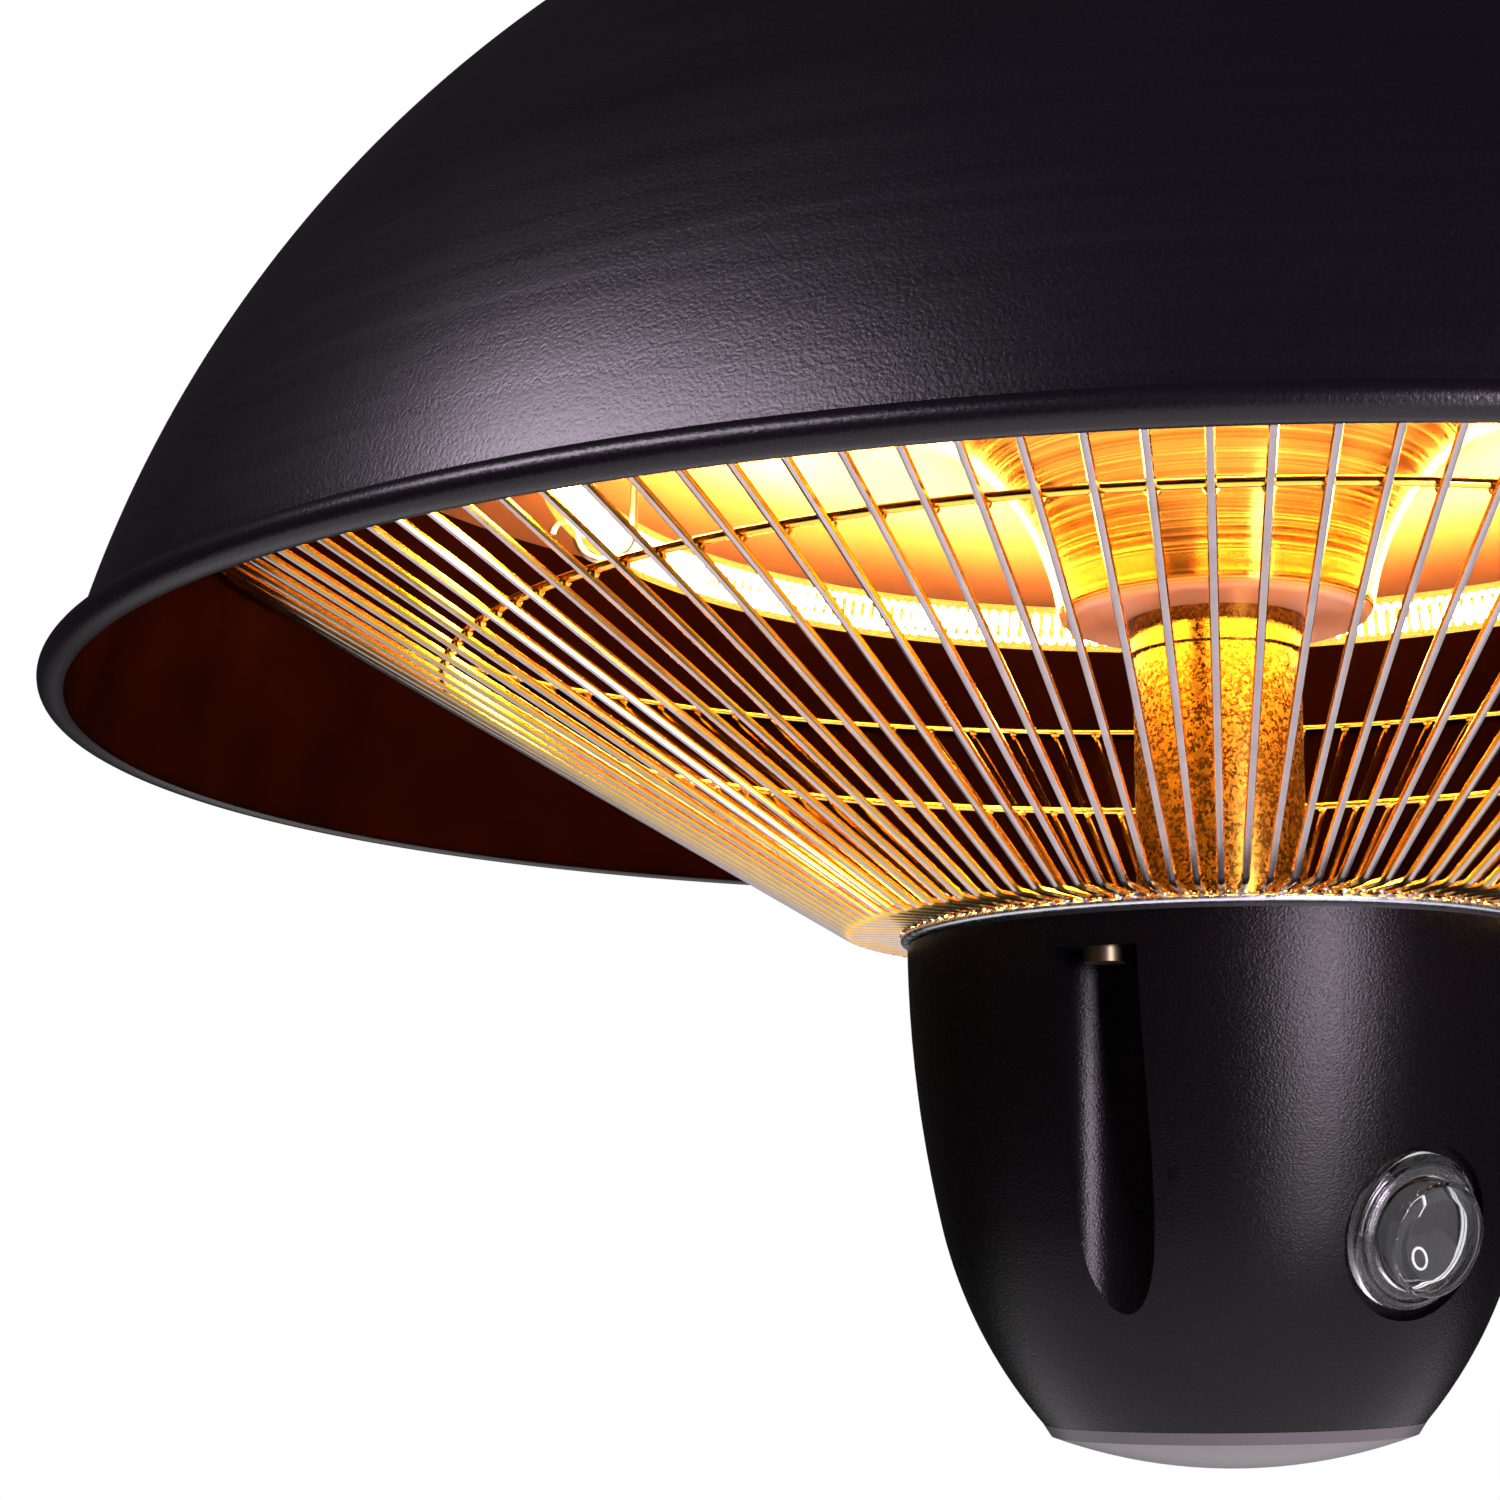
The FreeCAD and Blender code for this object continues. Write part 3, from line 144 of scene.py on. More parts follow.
def pips(centres, axes, sizes, rows=5, cols=6):
    """Lens n is centre + sum over its three axes of axis * size * (sin p cos q, sin p sin q, cos p)."""
    p = np.linspace(0, np.pi, rows)[:, None]
    q = np.linspace(0, 2 * np.pi, cols, endpoint=False)
    ball = np.stack([np.sin(p) * np.cos(q), np.sin(p) * np.sin(q), np.cos(p) + 0 * q], -1).reshape(-1, 3)
    stretched = ball * sizes[:, None, :]
    points = centres[:, None] + np.einsum("nki,nij->nkj", stretched, axes)
    shifts = np.arange(len(centres))[:, None, None] * len(ball)
    return points.reshape(-1, 3), (grid_quads(rows, cols, False, True) + shifts).reshape(-1, 4)


# %% Arrays into pieces
WELD_DISTANCE = 1e-7
SHARP_ANGLE = math.radians(38)


def facing_out(points, quads):
    """A closed surface whose faces point outwards has a positive sum of a . (b x c) over its triangles."""
    a, b, c, d = (points[quads[:, k]] for k in range(4))
    volume = (a * np.cross(b, c)).sum() + (a * np.cross(c, d)).sum()
    return quads if volume > 0 else quads[:, ::-1]


def make_piece(name, surfaces, body, slot, *stands_for):
    """Join closed surfaces into one mesh, close their poles and hang it on its CAD body."""
    all_points = []
    all_quads = []
    count = 0
    for points, quads in surfaces:
        all_quads.append(facing_out(points, quads) + count)
        all_points.append(points)
        count += len(points)
    mesh = bpy.data.meshes.new(name)
    mesh.from_pydata(
        in_frame(np.concatenate(all_points)).tolist(), [], np.concatenate(all_quads).tolist()
    )
    work = bmesh.new()
    work.from_mesh(mesh)
    bmesh.ops.remove_doubles(work, verts=work.verts, dist=WELD_DISTANCE)
    work.to_mesh(mesh)
    work.free()
    mesh.polygons.foreach_set("use_smooth", np.ones(len(mesh.polygons), bool))
    mesh.set_sharp_from_angle(angle=SHARP_ANGLE)
    piece = bpy.data.objects.new(name, mesh)
    bpy.context.scene.collection.objects.link(piece)
    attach(piece, body)
    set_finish(piece, slot)
    if stands_for:
        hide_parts(*stands_for)
    print(f"{name}: {len(mesh.polygons)} faces")


# %% [markdown]
# The shade is a steel disc spun into part of a ball, with its edge rolled outwards into a bead. The
# lathe's outline is the closed loop that a saw cut would show: the outer face, round the inside of the
# bead, back round its outside, and up the inner face. Dense steps keep the long highlight on the dome
# unbroken.

# %% Shade
SHADE_RADIUS = 212.5
SHADE_HEIGHT = 163.5
LIP_RADIUS = 2.6
LIP_CURL = 60.0
PAST_TANGENT = 2.0
SHEET = 1.0
ROD_HOLE = 4.3
DOME_POINTS = 90
DENSE_STEPS = 320
roll_inner = LIP_RADIUS - SHEET
roll_centre = SHADE_RADIUS - LIP_RADIUS
dome_radius = (roll_centre**2 + SHADE_HEIGHT**2 - roll_inner**2) / (2 * (SHADE_HEIGHT + roll_inner))
dome_centre = SHADE_HEIGHT - dome_radius
lip_angle = math.degrees(math.atan2(-dome_centre, roll_centre))
top_angle = math.degrees(math.acos(ROD_HOLE / dome_radius))
roll_start = 180 + lip_angle + PAST_TANGENT
roll_stop = 360 + LIP_CURL
shade_outline = np.concatenate(
    [
        arc((0, dome_centre), dome_radius, top_angle, lip_angle, DOME_POINTS),
        arc((roll_centre, 0), roll_inner, roll_start, roll_stop, 20),
        arc((roll_centre, 0), LIP_RADIUS, roll_stop, roll_start, 26),
        arc((0, dome_centre), dome_radius - SHEET, lip_angle, top_angle, DOME_POINTS),
    ]
)
make_piece("shade_skin", [lathe(shade_outline, DENSE_STEPS)], "heater", "shade_black", "shade")

# %% [markdown]
# The reflector is one bright aluminium pressing: a flat plate that hides the wiring, sinking through a
# wide flare into a cup-shaped foot over the centre tube. It is turned from its outline like the shade.

# %% Reflector
PLATE_LEVEL = 65.5
PLATE_SHEET = 0.8
PLATE_START = 80.0
PLATE_EDGE = 178.0
FLARE_RADIUS = 47.5
FLARE_CENTRE = (77.18, 18.0)
FLARE_END = 171.5
FOOT_RADIUS = 30.2
FOOT_FLAT = 16.0
FOOT_TOP = 26.0
FOOT_LEVEL = 22.0
FOOT_ROUND = 3.0


def level_run(start, stop, level, count):
    """Points along a level line of an outline."""
    return np.stack([np.linspace(start, stop, count), np.full(count, level)], -1)


reflector_outline = np.concatenate(
    [
        [(ROD_HOLE, FOOT_LEVEL), (FOOT_FLAT, FOOT_LEVEL)],
        arc((FOOT_RADIUS - FOOT_ROUND, FOOT_LEVEL + FOOT_ROUND), FOOT_ROUND, -90, 0, 8),
        arc(FLARE_CENTRE, FLARE_RADIUS, FLARE_END, 90, 48),
        level_run(PLATE_START, PLATE_EDGE, PLATE_LEVEL, 12),
        level_run(PLATE_EDGE, PLATE_START, PLATE_LEVEL + PLATE_SHEET, 4),
        arc(FLARE_CENTRE, FLARE_RADIUS + PLATE_SHEET, 90, FLARE_END, 40),
        [(FOOT_TOP, FOOT_LEVEL + PLATE_SHEET), (ROD_HOLE, FOOT_LEVEL + PLATE_SHEET)],
    ]
)
make_piece(
    "reflector_skin",
    [lathe(reflector_outline, DENSE_STEPS)],
    "heater",
    "reflector_aluminium",
    "reflector",
)

# %% [markdown]
# The lamp is a quartz tube bent into a ring whose two ends turn up through the plate. Inside it runs a
# coiled heating wire. Tube and coil follow the same ring, so the path is worked out once: a straight end,
# a quarter bend, the long ring, another bend and the other end.

# %% Lamp path
LAMP_RING = 123.0
LAMP_LEVEL = 48.5
LAMP_BEND = 10.0
LAMP_GAP = 26.0
LAMP_ENDS_ANGLE = math.radians(-150)
LAMP_TOP = 80.0
RING_POINTS = 240
half_gap = math.atan2(LAMP_BEND, LAMP_RING) + math.asin(LAMP_GAP / 2 / math.hypot(LAMP_RING, LAMP_BEND))
ring_start = LAMP_ENDS_ANGLE + half_gap
ring_stop = LAMP_ENDS_ANGLE + 2 * math.pi - half_gap


def on_lamp_ring(turn):
    """The lamp's centre line at an angle."""
    return LAMP_RING * outwards(turn) + LAMP_LEVEL * UP


def lamp_end(angle, side):
    """Bend point = ring end + LAMP_BEND (sin t along the ring, 1 - cos t up), then straight up."""
    t = np.radians(np.linspace(0, 90, 10))[:, None]
    bend = on_lamp_ring(angle) + LAMP_BEND * (np.sin(t) * onwards(angle) * side + (1 - np.cos(t)) * UP)
    rise = np.linspace(0, LAMP_TOP - LAMP_LEVEL - LAMP_BEND, 5)[1:, None] * UP
    return np.concatenate([bend, bend[-1] + rise])


ring_angles = np.linspace(ring_start, ring_stop, RING_POINTS)[1:-1]
first_end = lamp_end(ring_start, -1)[::-1]
last_end = lamp_end(ring_stop, 1)
lamp_path = np.concatenate([first_end, on_lamp_ring(ring_angles), last_end])
path_angles = np.concatenate(
    [np.full(len(first_end), ring_start), ring_angles, np.full(len(last_end), ring_stop)]
)
print(f"lamp path: {len(lamp_path)} points")

# %% Lamp tube and coil
TUBE_RADIUS = 5.0
TUBE_SIDES = 24
COIL_RADIUS = 3.2
COIL_WIRE = 0.5
COIL_SIDES = 6
COIL_TURNS = 280
TURN_POINTS = 12
glass = bars(lamp_path[None], outwards(path_angles)[None], TUBE_RADIUS, TUBE_SIDES)
make_piece("lamp_glass", [glass], "heater", "quartz", "lamp_tube")
share = np.linspace(0, 1, COIL_TURNS * TURN_POINTS + 1)
coil_angle = ring_start + (ring_stop - ring_start) * share
coil_phase = 2 * np.pi * COIL_TURNS * share[:, None]
coil_side = np.cos(coil_phase) * outwards(coil_angle) + np.sin(coil_phase) * UP
coil_path = on_lamp_ring(coil_angle) + COIL_RADIUS * coil_side
coil = bars(coil_path[None], coil_side[None], COIL_WIRE, COIL_SIDES)
make_piece("lamp_coil", [coil], "heater", "filament", "lamp_filament")

# %% [markdown]
# The guard is 112 chromed wires, each bent once near its foot, welded over two hoops and onto a zinc
# ring. One wire is a short path with few faces, because it is repeated more than a hundred times. Each is
# set a hair off its even place, as welded wires are, from a seeded table so that every run gives the same
# guard.

# %% Guard wires
SPOKES = 112
SPOKE_RADIUS = 0.75
SPOKE_SIDES = 8
SPOKE_LEVEL = -36.9
SPOKE_FOOT = 57.5
SPOKE_BEND = 70.5
SPOKE_TIP = 192.48
SLOPE_REACHES = (110.0, 150.0, SPOKE_TIP)
BEND_RADIUS = 5.0
GUARD_SLOPE = math.radians(31)
TIP_DRIFT = 0.0009
rng = np.random.default_rng(7)
trim = BEND_RADIUS * math.tan(GUARD_SLOPE / 2)
bend_centre = (SPOKE_BEND - trim, SPOKE_LEVEL + BEND_RADIUS)


def guard_level(reach):
    """Height of a wire's centre line on its straight slope: level + (reach - bend) tan(slope)."""
    return SPOKE_LEVEL + (reach - SPOKE_BEND) * math.tan(GUARD_SLOPE)


def lean(reach):
    """How much of its tip's drift a wire has at a reach: none at the bend, all at the tip."""
    return np.clip((reach - SPOKE_BEND) / (SPOKE_TIP - SPOKE_BEND), 0, 1)


wire_outline = np.concatenate(
    [
        [(SPOKE_FOOT, SPOKE_LEVEL)],
        arc(bend_centre, BEND_RADIUS, -90, math.degrees(GUARD_SLOPE) - 90, 5),
        [(reach, guard_level(reach)) for reach in SLOPE_REACHES],
    ]
)
wire_angles = 2 * np.pi * np.arange(SPOKES) / SPOKES
tip_drift = rng.normal(0, TIP_DRIFT, SPOKES)
wire_turn = wire_angles[:, None] + tip_drift[:, None] * lean(wire_outline[:, 0])
wire_paths = wire_outline[:, :1] * outwards(wire_turn) + wire_outline[:, 1:] * UP
wires = bars(wire_paths, onwards(wire_turn), SPOKE_RADIUS, SPOKE_SIDES)
make_piece("guard_wires", [wires], "heater", "guard_wire", "grille_spokes")

# %% Guard hoops and their welds
HOOPS = {"grille_mid_ring": 144.0, "grille_top_ring": 190.98}
HOOP_RADIUS = 0.8
HOOP_SIDES = 12
HOOP_STEPS = 288
WELD_GAP = 0.05
WELD_SIZES = ((0.75, 1.05), (0.9, 1.4), (0.7, 0.9))
hoop_lift = (SPOKE_RADIUS + HOOP_RADIUS + WELD_GAP) / math.cos(GUARD_SLOPE)
for node, reach in HOOPS.items():
    hoop_centre = (reach, guard_level(reach) + hoop_lift)
    hoop = lathe(arc(hoop_centre, HOOP_RADIUS, 0, 360, HOOP_SIDES + 1)[:-1], HOOP_STEPS)
    weld_turn = wire_angles + tip_drift * lean(reach)
    weld_out = outwards(weld_turn)
    weld_centres = reach * weld_out + (guard_level(reach) + hoop_lift / 2) * UP
    weld_axes = np.stack([weld_out, onwards(weld_turn), np.broadcast_to(UP, weld_out.shape)], 1)
    weld_sizes = np.stack([rng.uniform(low, high, SPOKES) for low, high in WELD_SIZES], -1)
    welds = pips(weld_centres, weld_axes, weld_sizes)
    make_piece(node.replace("grille", "guard"), [hoop, welds], "heater", "guard_wire", node)

# %% [markdown]
# The wires' feet are spot welded onto a stamped zinc ring, and each weld has left a rough bead at its
# rim. The ring is turned from an outline with rolled edges, and a few hundred small lenses of uneven
# size, again from a seeded table, stand for the splashes.

# %% Zinc ring with weld splashes
FLANGE_LEVEL = -37.7
FLANGE_RADIUS = 60.6
FLANGE_FLAT = 40.0
FLANGE_THICK = 1.5
FLANGE_STEPS = 256
SPLASHES = 420
SPLASH_SPREAD = 0.4
SPLASH_REACH = (58.2, 60.3)
SPLASH_SIZE = (0.3, 0.75)
edge_round = FLANGE_THICK / 2
flange_outline = np.concatenate(
    [
        [(ROD_HOLE, FLANGE_LEVEL), (FLANGE_FLAT, FLANGE_LEVEL)],
        arc((FLANGE_RADIUS - edge_round, FLANGE_LEVEL - edge_round), edge_round, 90, -90, 12),
        [(FLANGE_FLAT, FLANGE_LEVEL - FLANGE_THICK), (ROD_HOLE, FLANGE_LEVEL - FLANGE_THICK)],
    ]
)
splash_place = np.arange(SPLASHES) + rng.uniform(-SPLASH_SPREAD, SPLASH_SPREAD, SPLASHES)
splash_reach = rng.uniform(*SPLASH_REACH, (SPLASHES, 1))
splash_centres = splash_reach * outwards(2 * np.pi * splash_place / SPLASHES) + FLANGE_LEVEL * UP
splash_sizes = rng.uniform(*SPLASH_SIZE, (SPLASHES, 3))
splash_axes = np.broadcast_to(np.eye(3), (SPLASHES, 3, 3))
make_piece(
    "guard_ring",
    [lathe(flange_outline, FLANGE_STEPS), pips(splash_centres, splash_axes, splash_sizes)],
    "heater",
    "flange_zinc",
    "grille_flange",
)

# %% [markdown]
# The switch sits on a small panel that leans 15 degrees out of the cup. Its clear boot and its two marks
# are worked out flat on that panel, with z pointing out of it, and then carried there by one turn and one
# shift.

# %% Onto the switch panel
PANEL_TILT = math.radians(15)
PANEL_CENTRE = np.array([0.0, -48.923, -93.568])
PANEL_AXES = np.array(
    [
        [1.0, 0.0, 0.0],
        [0.0, -math.sin(PANEL_TILT), math.cos(PANEL_TILT)],
        [0.0, -math.cos(PANEL_TILT), -math.sin(PANEL_TILT)],
    ]
)
BOOT_STEPS = 96


def on_panel(surface):
    """Panel point (x, y, z) = centre + x right + y up the panel + z out of it."""
    points, quads = surface
    return PANEL_CENTRE + points @ PANEL_AXES, quads


# From the foot outwards: the rim, two ripples, the wall, the round shoulder, the top and back inside.
boot_outline = np.concatenate(
    [
        [(11.6, 0.05), (13.6, 0.05), (13.7, 0.4), (13.7, 1.6)],
        arc((13.0, 1.9), 0.7, 0, 90, 6),
        arc((12.1, 2.6), 0.5, 30, 150, 6),
        arc((11.0, 2.75), 0.45, 30, 150, 6),
        [(10.3, 3.0), (10.15, 3.4), (10.1, 7.2)],
        arc((9.4, 7.3), 0.7, 0, 90, 7),
        [(7.6, 8.0), (7.2, 7.85), (6.8, 7.95), (0.0, 7.95)],
        [(0.0, 7.2), (9.2, 7.2), (9.35, 6.9), (9.35, 2.1), (11.6, 2.1)],
    ]
)
boot = on_panel(lathe(boot_outline, BOOT_STEPS))
make_piece("switch_cover", [boot], "heater", "boot_clear", "switch_boot")

# %% Marks on the rocker
ROCKER_FACE = 2.2
ROCKER_BEND = math.radians(20)
MARK_LIFT = 0.04
MARK_SIDES = 8
RING_HALVES = (1.45, 1.75)
RING_BELOW = 4.3
RING_STROKE = 0.22
RING_MARK_POINTS = 48
BAR_ENDS = (2.6, 6.4)
BAR_STROKE = 0.26
BAR_POINTS = 7
mark_level = ROCKER_FACE + MARK_LIFT
mark_turn = np.linspace(0, 2 * np.pi, RING_MARK_POINTS, endpoint=False)
fold = RING_BELOW - RING_HALVES[1] * np.sin(mark_turn)
ring_mark = np.stack(
    [
        RING_HALVES[0] * np.cos(mark_turn),
        -fold * math.cos(ROCKER_BEND),
        mark_level + fold * math.sin(ROCKER_BEND),
    ],
    -1,
)
bar_mark = np.stack(
    [np.zeros(BAR_POINTS), np.linspace(*BAR_ENDS, BAR_POINTS), np.full(BAR_POINTS, mark_level)], -1
)
make_piece(
    "rocker_marks",
    [
        on_panel(bars(ring_mark[None], UP, RING_STROKE, MARK_SIDES, closed=True)),
        on_panel(bars(bar_mark[None], UP, BAR_STROKE, MARK_SIDES)),
    ],
    "rocker",
    "lead_white",
)

# %% [markdown]
# A finish is a graph of nodes, and a graph is easier to read as arithmetic. The small class Field wraps
# one socket, and Python's operators on it add Math nodes. Finish holds one material: its node method
# makes any other node, and feed joins a result to the shader.

# %% Shader arithmetic
class Field:
    """A value that changes over a surface."""

    def __init__(self, finish, socket):
        self.finish = finish
        self.socket = socket

    def math(self, operation, first, second):
        return self.finish.node("ShaderNodeMath", {"operation": operation}, {0: first, 1: second})

    def __add__(self, other):
        return self.math("ADD", self, other)

    def __sub__(self, other):
        return self.math("SUBTRACT", self, other)

    def __mul__(self, other):
        return self.math("MULTIPLY", self, other)

    def __pow__(self, other):
        return self.math("POWER", self, other)

    def __radd__(self, other):
        return self.math("ADD", other, self)

    def __rsub__(self, other):
        return self.math("SUBTRACT", other, self)

    def __rmul__(self, other):
        return self.math("MULTIPLY", other, self)


class Finish:
    """One procedural material."""

    def __init__(self, name, **constants):
        self.material = bpy.data.materials.new(name)
        self.material.use_nodes = True
        self.tree = self.material.node_tree
        self.shader = self.tree.nodes["Principled BSDF"]
        for socket, value in constants.items():
            self.shader.inputs[socket.replace("_", " ")].default_value = value

    def node(self, kind, settings, inputs, output=0):
        """Add a node: its settings first, then each socket's value or link."""
        node = self.tree.nodes.new(kind)
        for key, value in settings.items():
            setattr(node, key, value)
        for key, value in inputs.items():
            if isinstance(value, Field):
                self.tree.links.new(value.socket, node.inputs[key])
            else:
                node.inputs[key].default_value = value
        return Field(self, node.outputs[output])

    def feed(self, socket, field):
        self.tree.links.new(field.socket, self.shader.inputs[socket])

    def place(self):
        return self.node("ShaderNodeTexCoord", {}, {}, "Object")

    def parts(self, vector):
        """The x, y and z of a vector."""
        first = self.node("ShaderNodeSeparateXYZ", {}, {0: vector})
        return [Field(self, output) for output in first.socket.node.outputs]

    def noise(self, scale, detail=2.0, vector=None):
        inputs = {"Vector": vector or self.place(), "Scale": scale, "Detail": detail}
        return self.node("ShaderNodeTexNoise", {}, inputs)

    def fade(self, value, start, stop, first, last):
        """Go evenly from first, where the value is at its start, to last, where it is at its stop."""
        ends = {"Value": value, 1: start, 2: stop, 3: first, 4: last}
        return self.node("ShaderNodeMapRange", {}, ends)

    def mix(self, factor, first, second):
        ends = {0: factor, 6: self.colour(first), 7: self.colour(second)}
        return self.node("ShaderNodeMix", {"data_type": "RGBA"}, ends, 2)

    def colour(self, value):
        return value if isinstance(value, Field) else (*value, 1.0)

    def bump(self, height, strength, depth):
        return self.node("ShaderNodeBump", {}, {"Height": height, "Strength": strength, "Distance": depth})

    def turned_marks(self, fine, slow):
        """Noise on (slow x, slow y, fine (r + z)): it changes slowly round the axis, quickly across it."""
        x, y, z = self.parts(self.place())
        reach = (x * x + y * y) ** 0.5
        vector = self.node("ShaderNodeCombineXYZ", {}, {0: x * slow, 1: y * slow, 2: (reach + z) * fine})
        return self.noise(1.0, 4.0, vector)


print("shader arithmetic ready")

# %% [markdown]
# Black powder coat is never one flat black. Baked powder flows into tiny orange-peel hills, about a
# millimetre apart, and the coat drifts a little in gloss across the sheet. One recipe, with finer or
# coarser hills, gives the moulded cup, its smoother cap and the small black parts. The shade has two
# coats: gloss over faint spinning marks outside, and inside a dull dark brown with patches, which is the
# lamp's red glow painted into the colour.

# %% Black coats
DRIFT_SCALE = 16.0


def black_coat(name, dark, light, hills, rough, gloss, depth):
    finish = Finish(name, Specular_IOR_Level=gloss)
    peel = finish.noise(hills, 3.0)
    drift = finish.noise(DRIFT_SCALE)
    finish.feed("Base Color", finish.mix(peel * 0.6 + drift * 0.4, dark, light))
    finish.feed("Roughness", rough + (peel - 0.5) * 0.2 + (drift - 0.5) * 0.1)
    finish.feed("Normal", finish.bump(peel, 0.5, depth))
    return finish.material


def shade_coat(name):
    """A mask by distance from the ball's centre mixes two shaders: gloss outside, painted lamp glow
    inside.
    """
    finish = Finish(name, Specular_IOR_Level=0.2)
    offset = {0: finish.place(), 1: in_frame((0, 0, dome_centre))}
    x, y, z = finish.parts(finish.node("ShaderNodeVectorMath", {"operation": "SUBTRACT"}, offset))
    reach = (x * x + y * y + z * z) ** 0.5
    outside = reach.math("GREATER_THAN", reach, (dome_radius - SHEET / 2) / MM_PER_METRE)
    peel = finish.noise(1800.0, 3.0)
    drift = finish.noise(DRIFT_SCALE)
    spun = finish.turned_marks(700.0, 8.0)
    black = finish.mix(peel * 0.6 + drift * 0.4, (0.001, 0.0007, 0.0012), (0.003, 0.0022, 0.0034))
    finish.feed("Base Color", black)
    finish.feed("Roughness", 0.29 + (peel - 0.5) * 0.1 + (spun - 0.5) * 0.11 + (drift - 0.5) * 0.08)
    finish.feed("Normal", finish.bump(peel * 0.7 + spun * 0.3, 0.5, 0.00016))
    # The inside's dull brown and its darker and lighter patches are painted lamp glow: the lamp's red
    # light painted into a coat that is black.
    painted_glow_patches = (finish.noise(40.0, 4.0) - 0.5) * 1.5 + 0.5
    painted_lamp_glow = finish.mix(painted_glow_patches, (0.0013, 0.0003, 0.0002), (0.0044, 0.0009, 0.0005))
    dull = finish.node(
        "ShaderNodeBsdfPrincipled", {}, {"Base Color": painted_lamp_glow, "Roughness": 0.7, "Specular IOR Level": 0.0}
    )
    gloss = Field(finish, finish.shader.outputs[0])
    both = finish.node("ShaderNodeMixShader", {}, {0: outside, 1: dull, 2: gloss})
    finish.tree.links.new(both.socket, finish.tree.nodes["Material Output"].inputs["Surface"])
    return finish.material


# Each row gives the dark and light colour, hills to the metre, roughness, gloss and hill height in metres.
BLACK_COATS = {
    "cup_black": ((0.0008, 0.0006, 0.0009), (0.0022, 0.0018, 0.0023), 2400.0, 0.26, 0.1, 0.00018),
    "cap_black": ((0.034, 0.028, 0.033), (0.048, 0.041, 0.047), 2600.0, 0.36, 0.35, 0.00006),
    "top_cap": ((0.004, 0.0036, 0.0042), (0.009, 0.008, 0.009), 1900.0, 0.6, 0.06, 0.0002),
    "gland_black": ((0.010, 0.010, 0.011), (0.022, 0.022, 0.023), 2000.0, 0.45, 0.4, 0.00005),
    "switch_black": ((0.008, 0.008, 0.009), (0.016, 0.016, 0.017), 2400.0, 0.3, 0.4, 0.00004),
    "rocker_black": ((0.008, 0.008, 0.009), (0.014, 0.014, 0.015), 1800.0, 0.2, 0.5, 0.00003),
    "rubber_black": ((0.010, 0.010, 0.010), (0.022, 0.021, 0.020), 1600.0, 0.65, 0.3, 0.00008),
}
FINISHES = {"shade_black": shade_coat("shade_black")}
FINISHES.update({name: black_coat(name, *row) for name, row in BLACK_COATS.items()})
print(f"black coats: {len(FINISHES)}")

# %% [markdown]
# The metals differ mostly in their marks. Chromed wire is almost a mirror; on the side that faces the lamp
# it is painted straw yellow, a painted reflection of the lamp's glow. The reflector's cone was turned, so
# its scratches run round the axis, and the reflector's orange and gold are the lamp's glow painted in.
# Galvanised tube shows fine crystals under painted orange lamp glow, and the stamped ring is rougher zinc.

# %% Metals
SMEAR_SCALE = 220.0
PAINTED_REFLECTION_EDGES = (-0.0006, -0.0003)
CONE_UNDER_PLATE = (0.01, 0.002)
CONE_OVER_FOOT = (0.0005, 0.002)


def bright_wire(name, dark, light, rough):
    finish = Finish(name, Metallic=1.0)
    smear = finish.noise(SMEAR_SCALE, 3.0)
    finish.feed("Base Color", finish.mix(smear, dark, light))
    finish.feed("Roughness", rough + (smear - 0.5) * 0.08)
    finish.feed("Normal", finish.bump(smear, 0.15, 0.0001))
    return finish.material


def guard_chrome(name):
    """Chrome wire with a painted reflection of the lamp's glow: straw yellow on the side that faces the
    lamp.
    """
    finish = Finish(name, Metallic=1.0)
    x, y, z = finish.parts(finish.place())
    reach = (x * x + y * y) ** 0.5
    past_bend = reach.math("MAXIMUM", reach - SPOKE_BEND / MM_PER_METRE, 0.0)
    middle = past_bend * math.tan(GUARD_SLOPE) + in_frame((0, 0, SPOKE_LEVEL))[2]
    lamp_side = (z - middle) * math.cos(GUARD_SLOPE)
    # The straw yellow on the side that faces the lamp is a painted reflection of the lamp's orange glow.
    facing = finish.fade(lamp_side, *PAINTED_REFLECTION_EDGES, 0.0, 1.0)
    smear = finish.noise(SMEAR_SCALE, 3.0)
    chrome = finish.mix(smear, (0.21, 0.19, 0.20), (0.33, 0.305, 0.32))
    painted_lamp_reflection = finish.mix(smear, (0.66, 0.38, 0.04), (0.84, 0.54, 0.09))
    finish.feed("Base Color", finish.mix(facing, chrome, painted_lamp_reflection))
    finish.feed("Roughness", 0.16 + (smear - 0.5) * 0.08)
    finish.feed("Normal", finish.bump(smear, 0.15, 0.0001))
    return finish.material


def turned_aluminium(name):
    """The flat plate and the foot's underside are plain, and the cone between them shows its brushing."""
    finish = Finish(name, Anisotropic=0.9, Anisotropic_Rotation=0.25)
    marks = finish.turned_marks(1300.0, 6.0)
    lines = (marks - 0.5) * 2.4 + 0.5
    height = finish.parts(finish.place())[2]
    plate = in_frame((0, 0, PLATE_LEVEL))[2]
    foot = in_frame((0, 0, FOOT_LEVEL))[2]
    below_plate = finish.fade(height, *(plate - drop for drop in CONE_UNDER_PLATE), 1.0, 0.0)
    above_foot = finish.fade(height, *(foot + rise for rise in CONE_OVER_FOOT), 0.0, 1.0)
    cone = below_plate * above_foot
    # The plate's orange, the foot's peach and the cone's gold are painted lamp glow: the lamp's orange
    # light painted into the aluminium's colour.
    flat = finish.mix(marks, (0.165, 0.066, 0.024), (0.21, 0.088, 0.034))
    plain = finish.mix(above_foot, (0.66, 0.40, 0.28), flat)
    painted_glow_gold = finish.mix(lines, (0.32, 0.10, 0.006), (0.92, 0.50, 0.08))
    finish.feed("Base Color", finish.mix(cone, plain, painted_glow_gold))
    finish.feed("Metallic", 0.45 + cone * 0.5)
    finish.feed("Roughness", 0.32 - cone * 0.08 + (lines - 0.5) * (0.02 + cone * 0.16))
    finish.feed("Normal", finish.bump(marks * cone, 0.25, 0.00006))
    return finish.material


